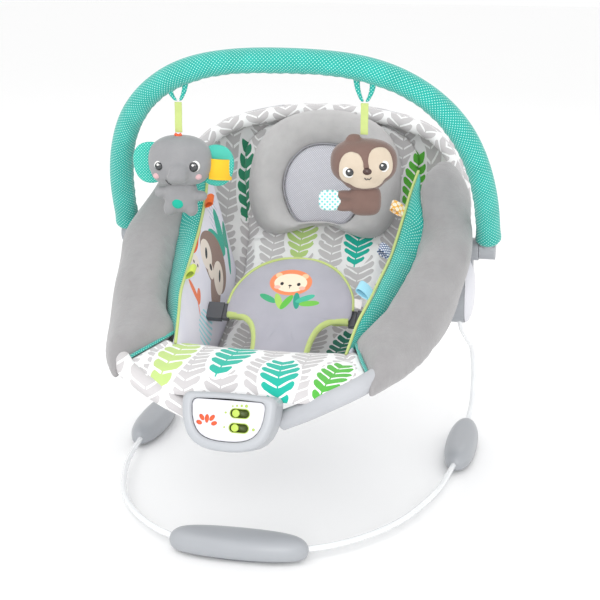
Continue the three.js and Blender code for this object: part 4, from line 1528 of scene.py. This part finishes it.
PAINTS = {
    "white": moulded("eye_white", "#efeeec", "#e6e4e2", 0.4),
    "black": moulded("eye_black", "#1d1f22", "#26282c", 0.12, coat=0.8),
    "pink": plain_cloth("cheek_pink", "#dcb7ba", "#cfa8ac"),
    "teal": plain_cloth("belly_teal", "#14b79d", "#0fa28b"),
    "thread": moulded("dark_thread", "#4a4a4c", "#3c3c3e", 0.7),
    "orange": moulded("orange_thread", "#e8643a", "#d9552d", 0.7),
    "yellow": plain_cloth("tag_yellow", "#f6c832", "#e9b722"),
    "nose": moulded("nose_brown", "#4b302b", "#3d2723", 0.35, coat=0.3),
}

MATERIALS = {
    "wire_white": enamel("wire_white", "#f4f5f6"),
    "frame_steel": metal("frame_steel", "#c2c5c9", 0.4),
    "bright_steel": metal("bright_steel", "#c9ccd0", 0.28),
    "grey_plastic": GREY,
    "pale_plastic": moulded("pale_plastic", "#dcdce1", "#d2d2d9", 0.3, coat=0.3),
    "dark_plastic": moulded("dark_plastic", "#5a5b5f", "#4c4d51", 0.45),
    "lime_plastic": moulded("lime_plastic", "#bcd45a", "#a9c348", 0.35, coat=0.3),
    "rubber_grey": moulded("rubber_grey", "#8d9095", "#7f8287", 0.75),
    "lime_webbing": LIME,
    "circuit_green": moulded("circuit_green", "#2f6b45", "#245637", 0.55),
    "battery_jacket": moulded("battery_jacket", "#3b3f46", "#2f3339", 0.35, coat=0.4),
}

make_cushion(PRINT)
make_cover(PRINT, PLAIN)
make_casings(PRINT, PLAIN)
WING = wing_print("wing_cotton")
for side, sign in both_sides():
    make_bolster(side, sign, SHADED_BOLSTER_PLUSH)
    make_wing(side, sign, WING)
    make_gusset(side, sign, KNIT)
    make_edges(side, sign, LIME, KNIT, PRINT)
    make_front_sleeve(side, sign, PLAIN if side == "right" else PRINT)
    make_foot(f"side_foot_shell_{side}", f"side_foot_{side}", (206 * sign, 106), 144, 40, True, GREY)
make_foot("front_foot_shell", "front_foot", (0, -236), 156, 46, False, GREY)
make_pillow(PLUSH, open_mesh("pillow_mesh"), plain_cloth("seam_tape", "#a9a8ae", "#9b9aa1"))
make_bib(bib_print("bib_cotton"), LIME, TAG_WHITE)
make_waist_straps(LIME)
make_sleeve(KNIT)
for toy in TOYS:
    make_hanger(toy, KNIT, LIME)
make_elephant(plush("elephant_plush", "#949496", "#868689"),
              dotted_knit("ear_teal", "#22bba9", "#17a595", 0.0036), PAINTS)
make_sloth(plush("sloth_plush", "#7b625a", "#6c544d"), plush("sloth_beige", "#cdbeab", "#bfaf9b"),
           tag_print("cuff_print", "#f2fafa", "#5fc9c4", 0.006), PAINTS)
make_unit(UNIT_GREY, moulded("olive_well", "#4c5a1e", "#3c4917", 0.4), PAINTS["orange"],
          MATERIALS["lime_plastic"])
make_tags({
    "lime": plain_cloth("tag_lime", "#cfe05a", "#b7cb48"),
    "orange": plain_cloth("tag_orange", "#f0742f", "#e2611f"),
    "gold": tag_print("tag_gold", "#f7b94a", "#fdf3df", 0.009, 0.3),
    "navy": tag_print("tag_navy", "#3a5484", "#e8eef6", 0.0045, 0.26),
    "blue": plain_cloth("tag_blue", "#a5dcee", "#8fcde2"),
})
dress(MATERIALS, UNIT_GREY)
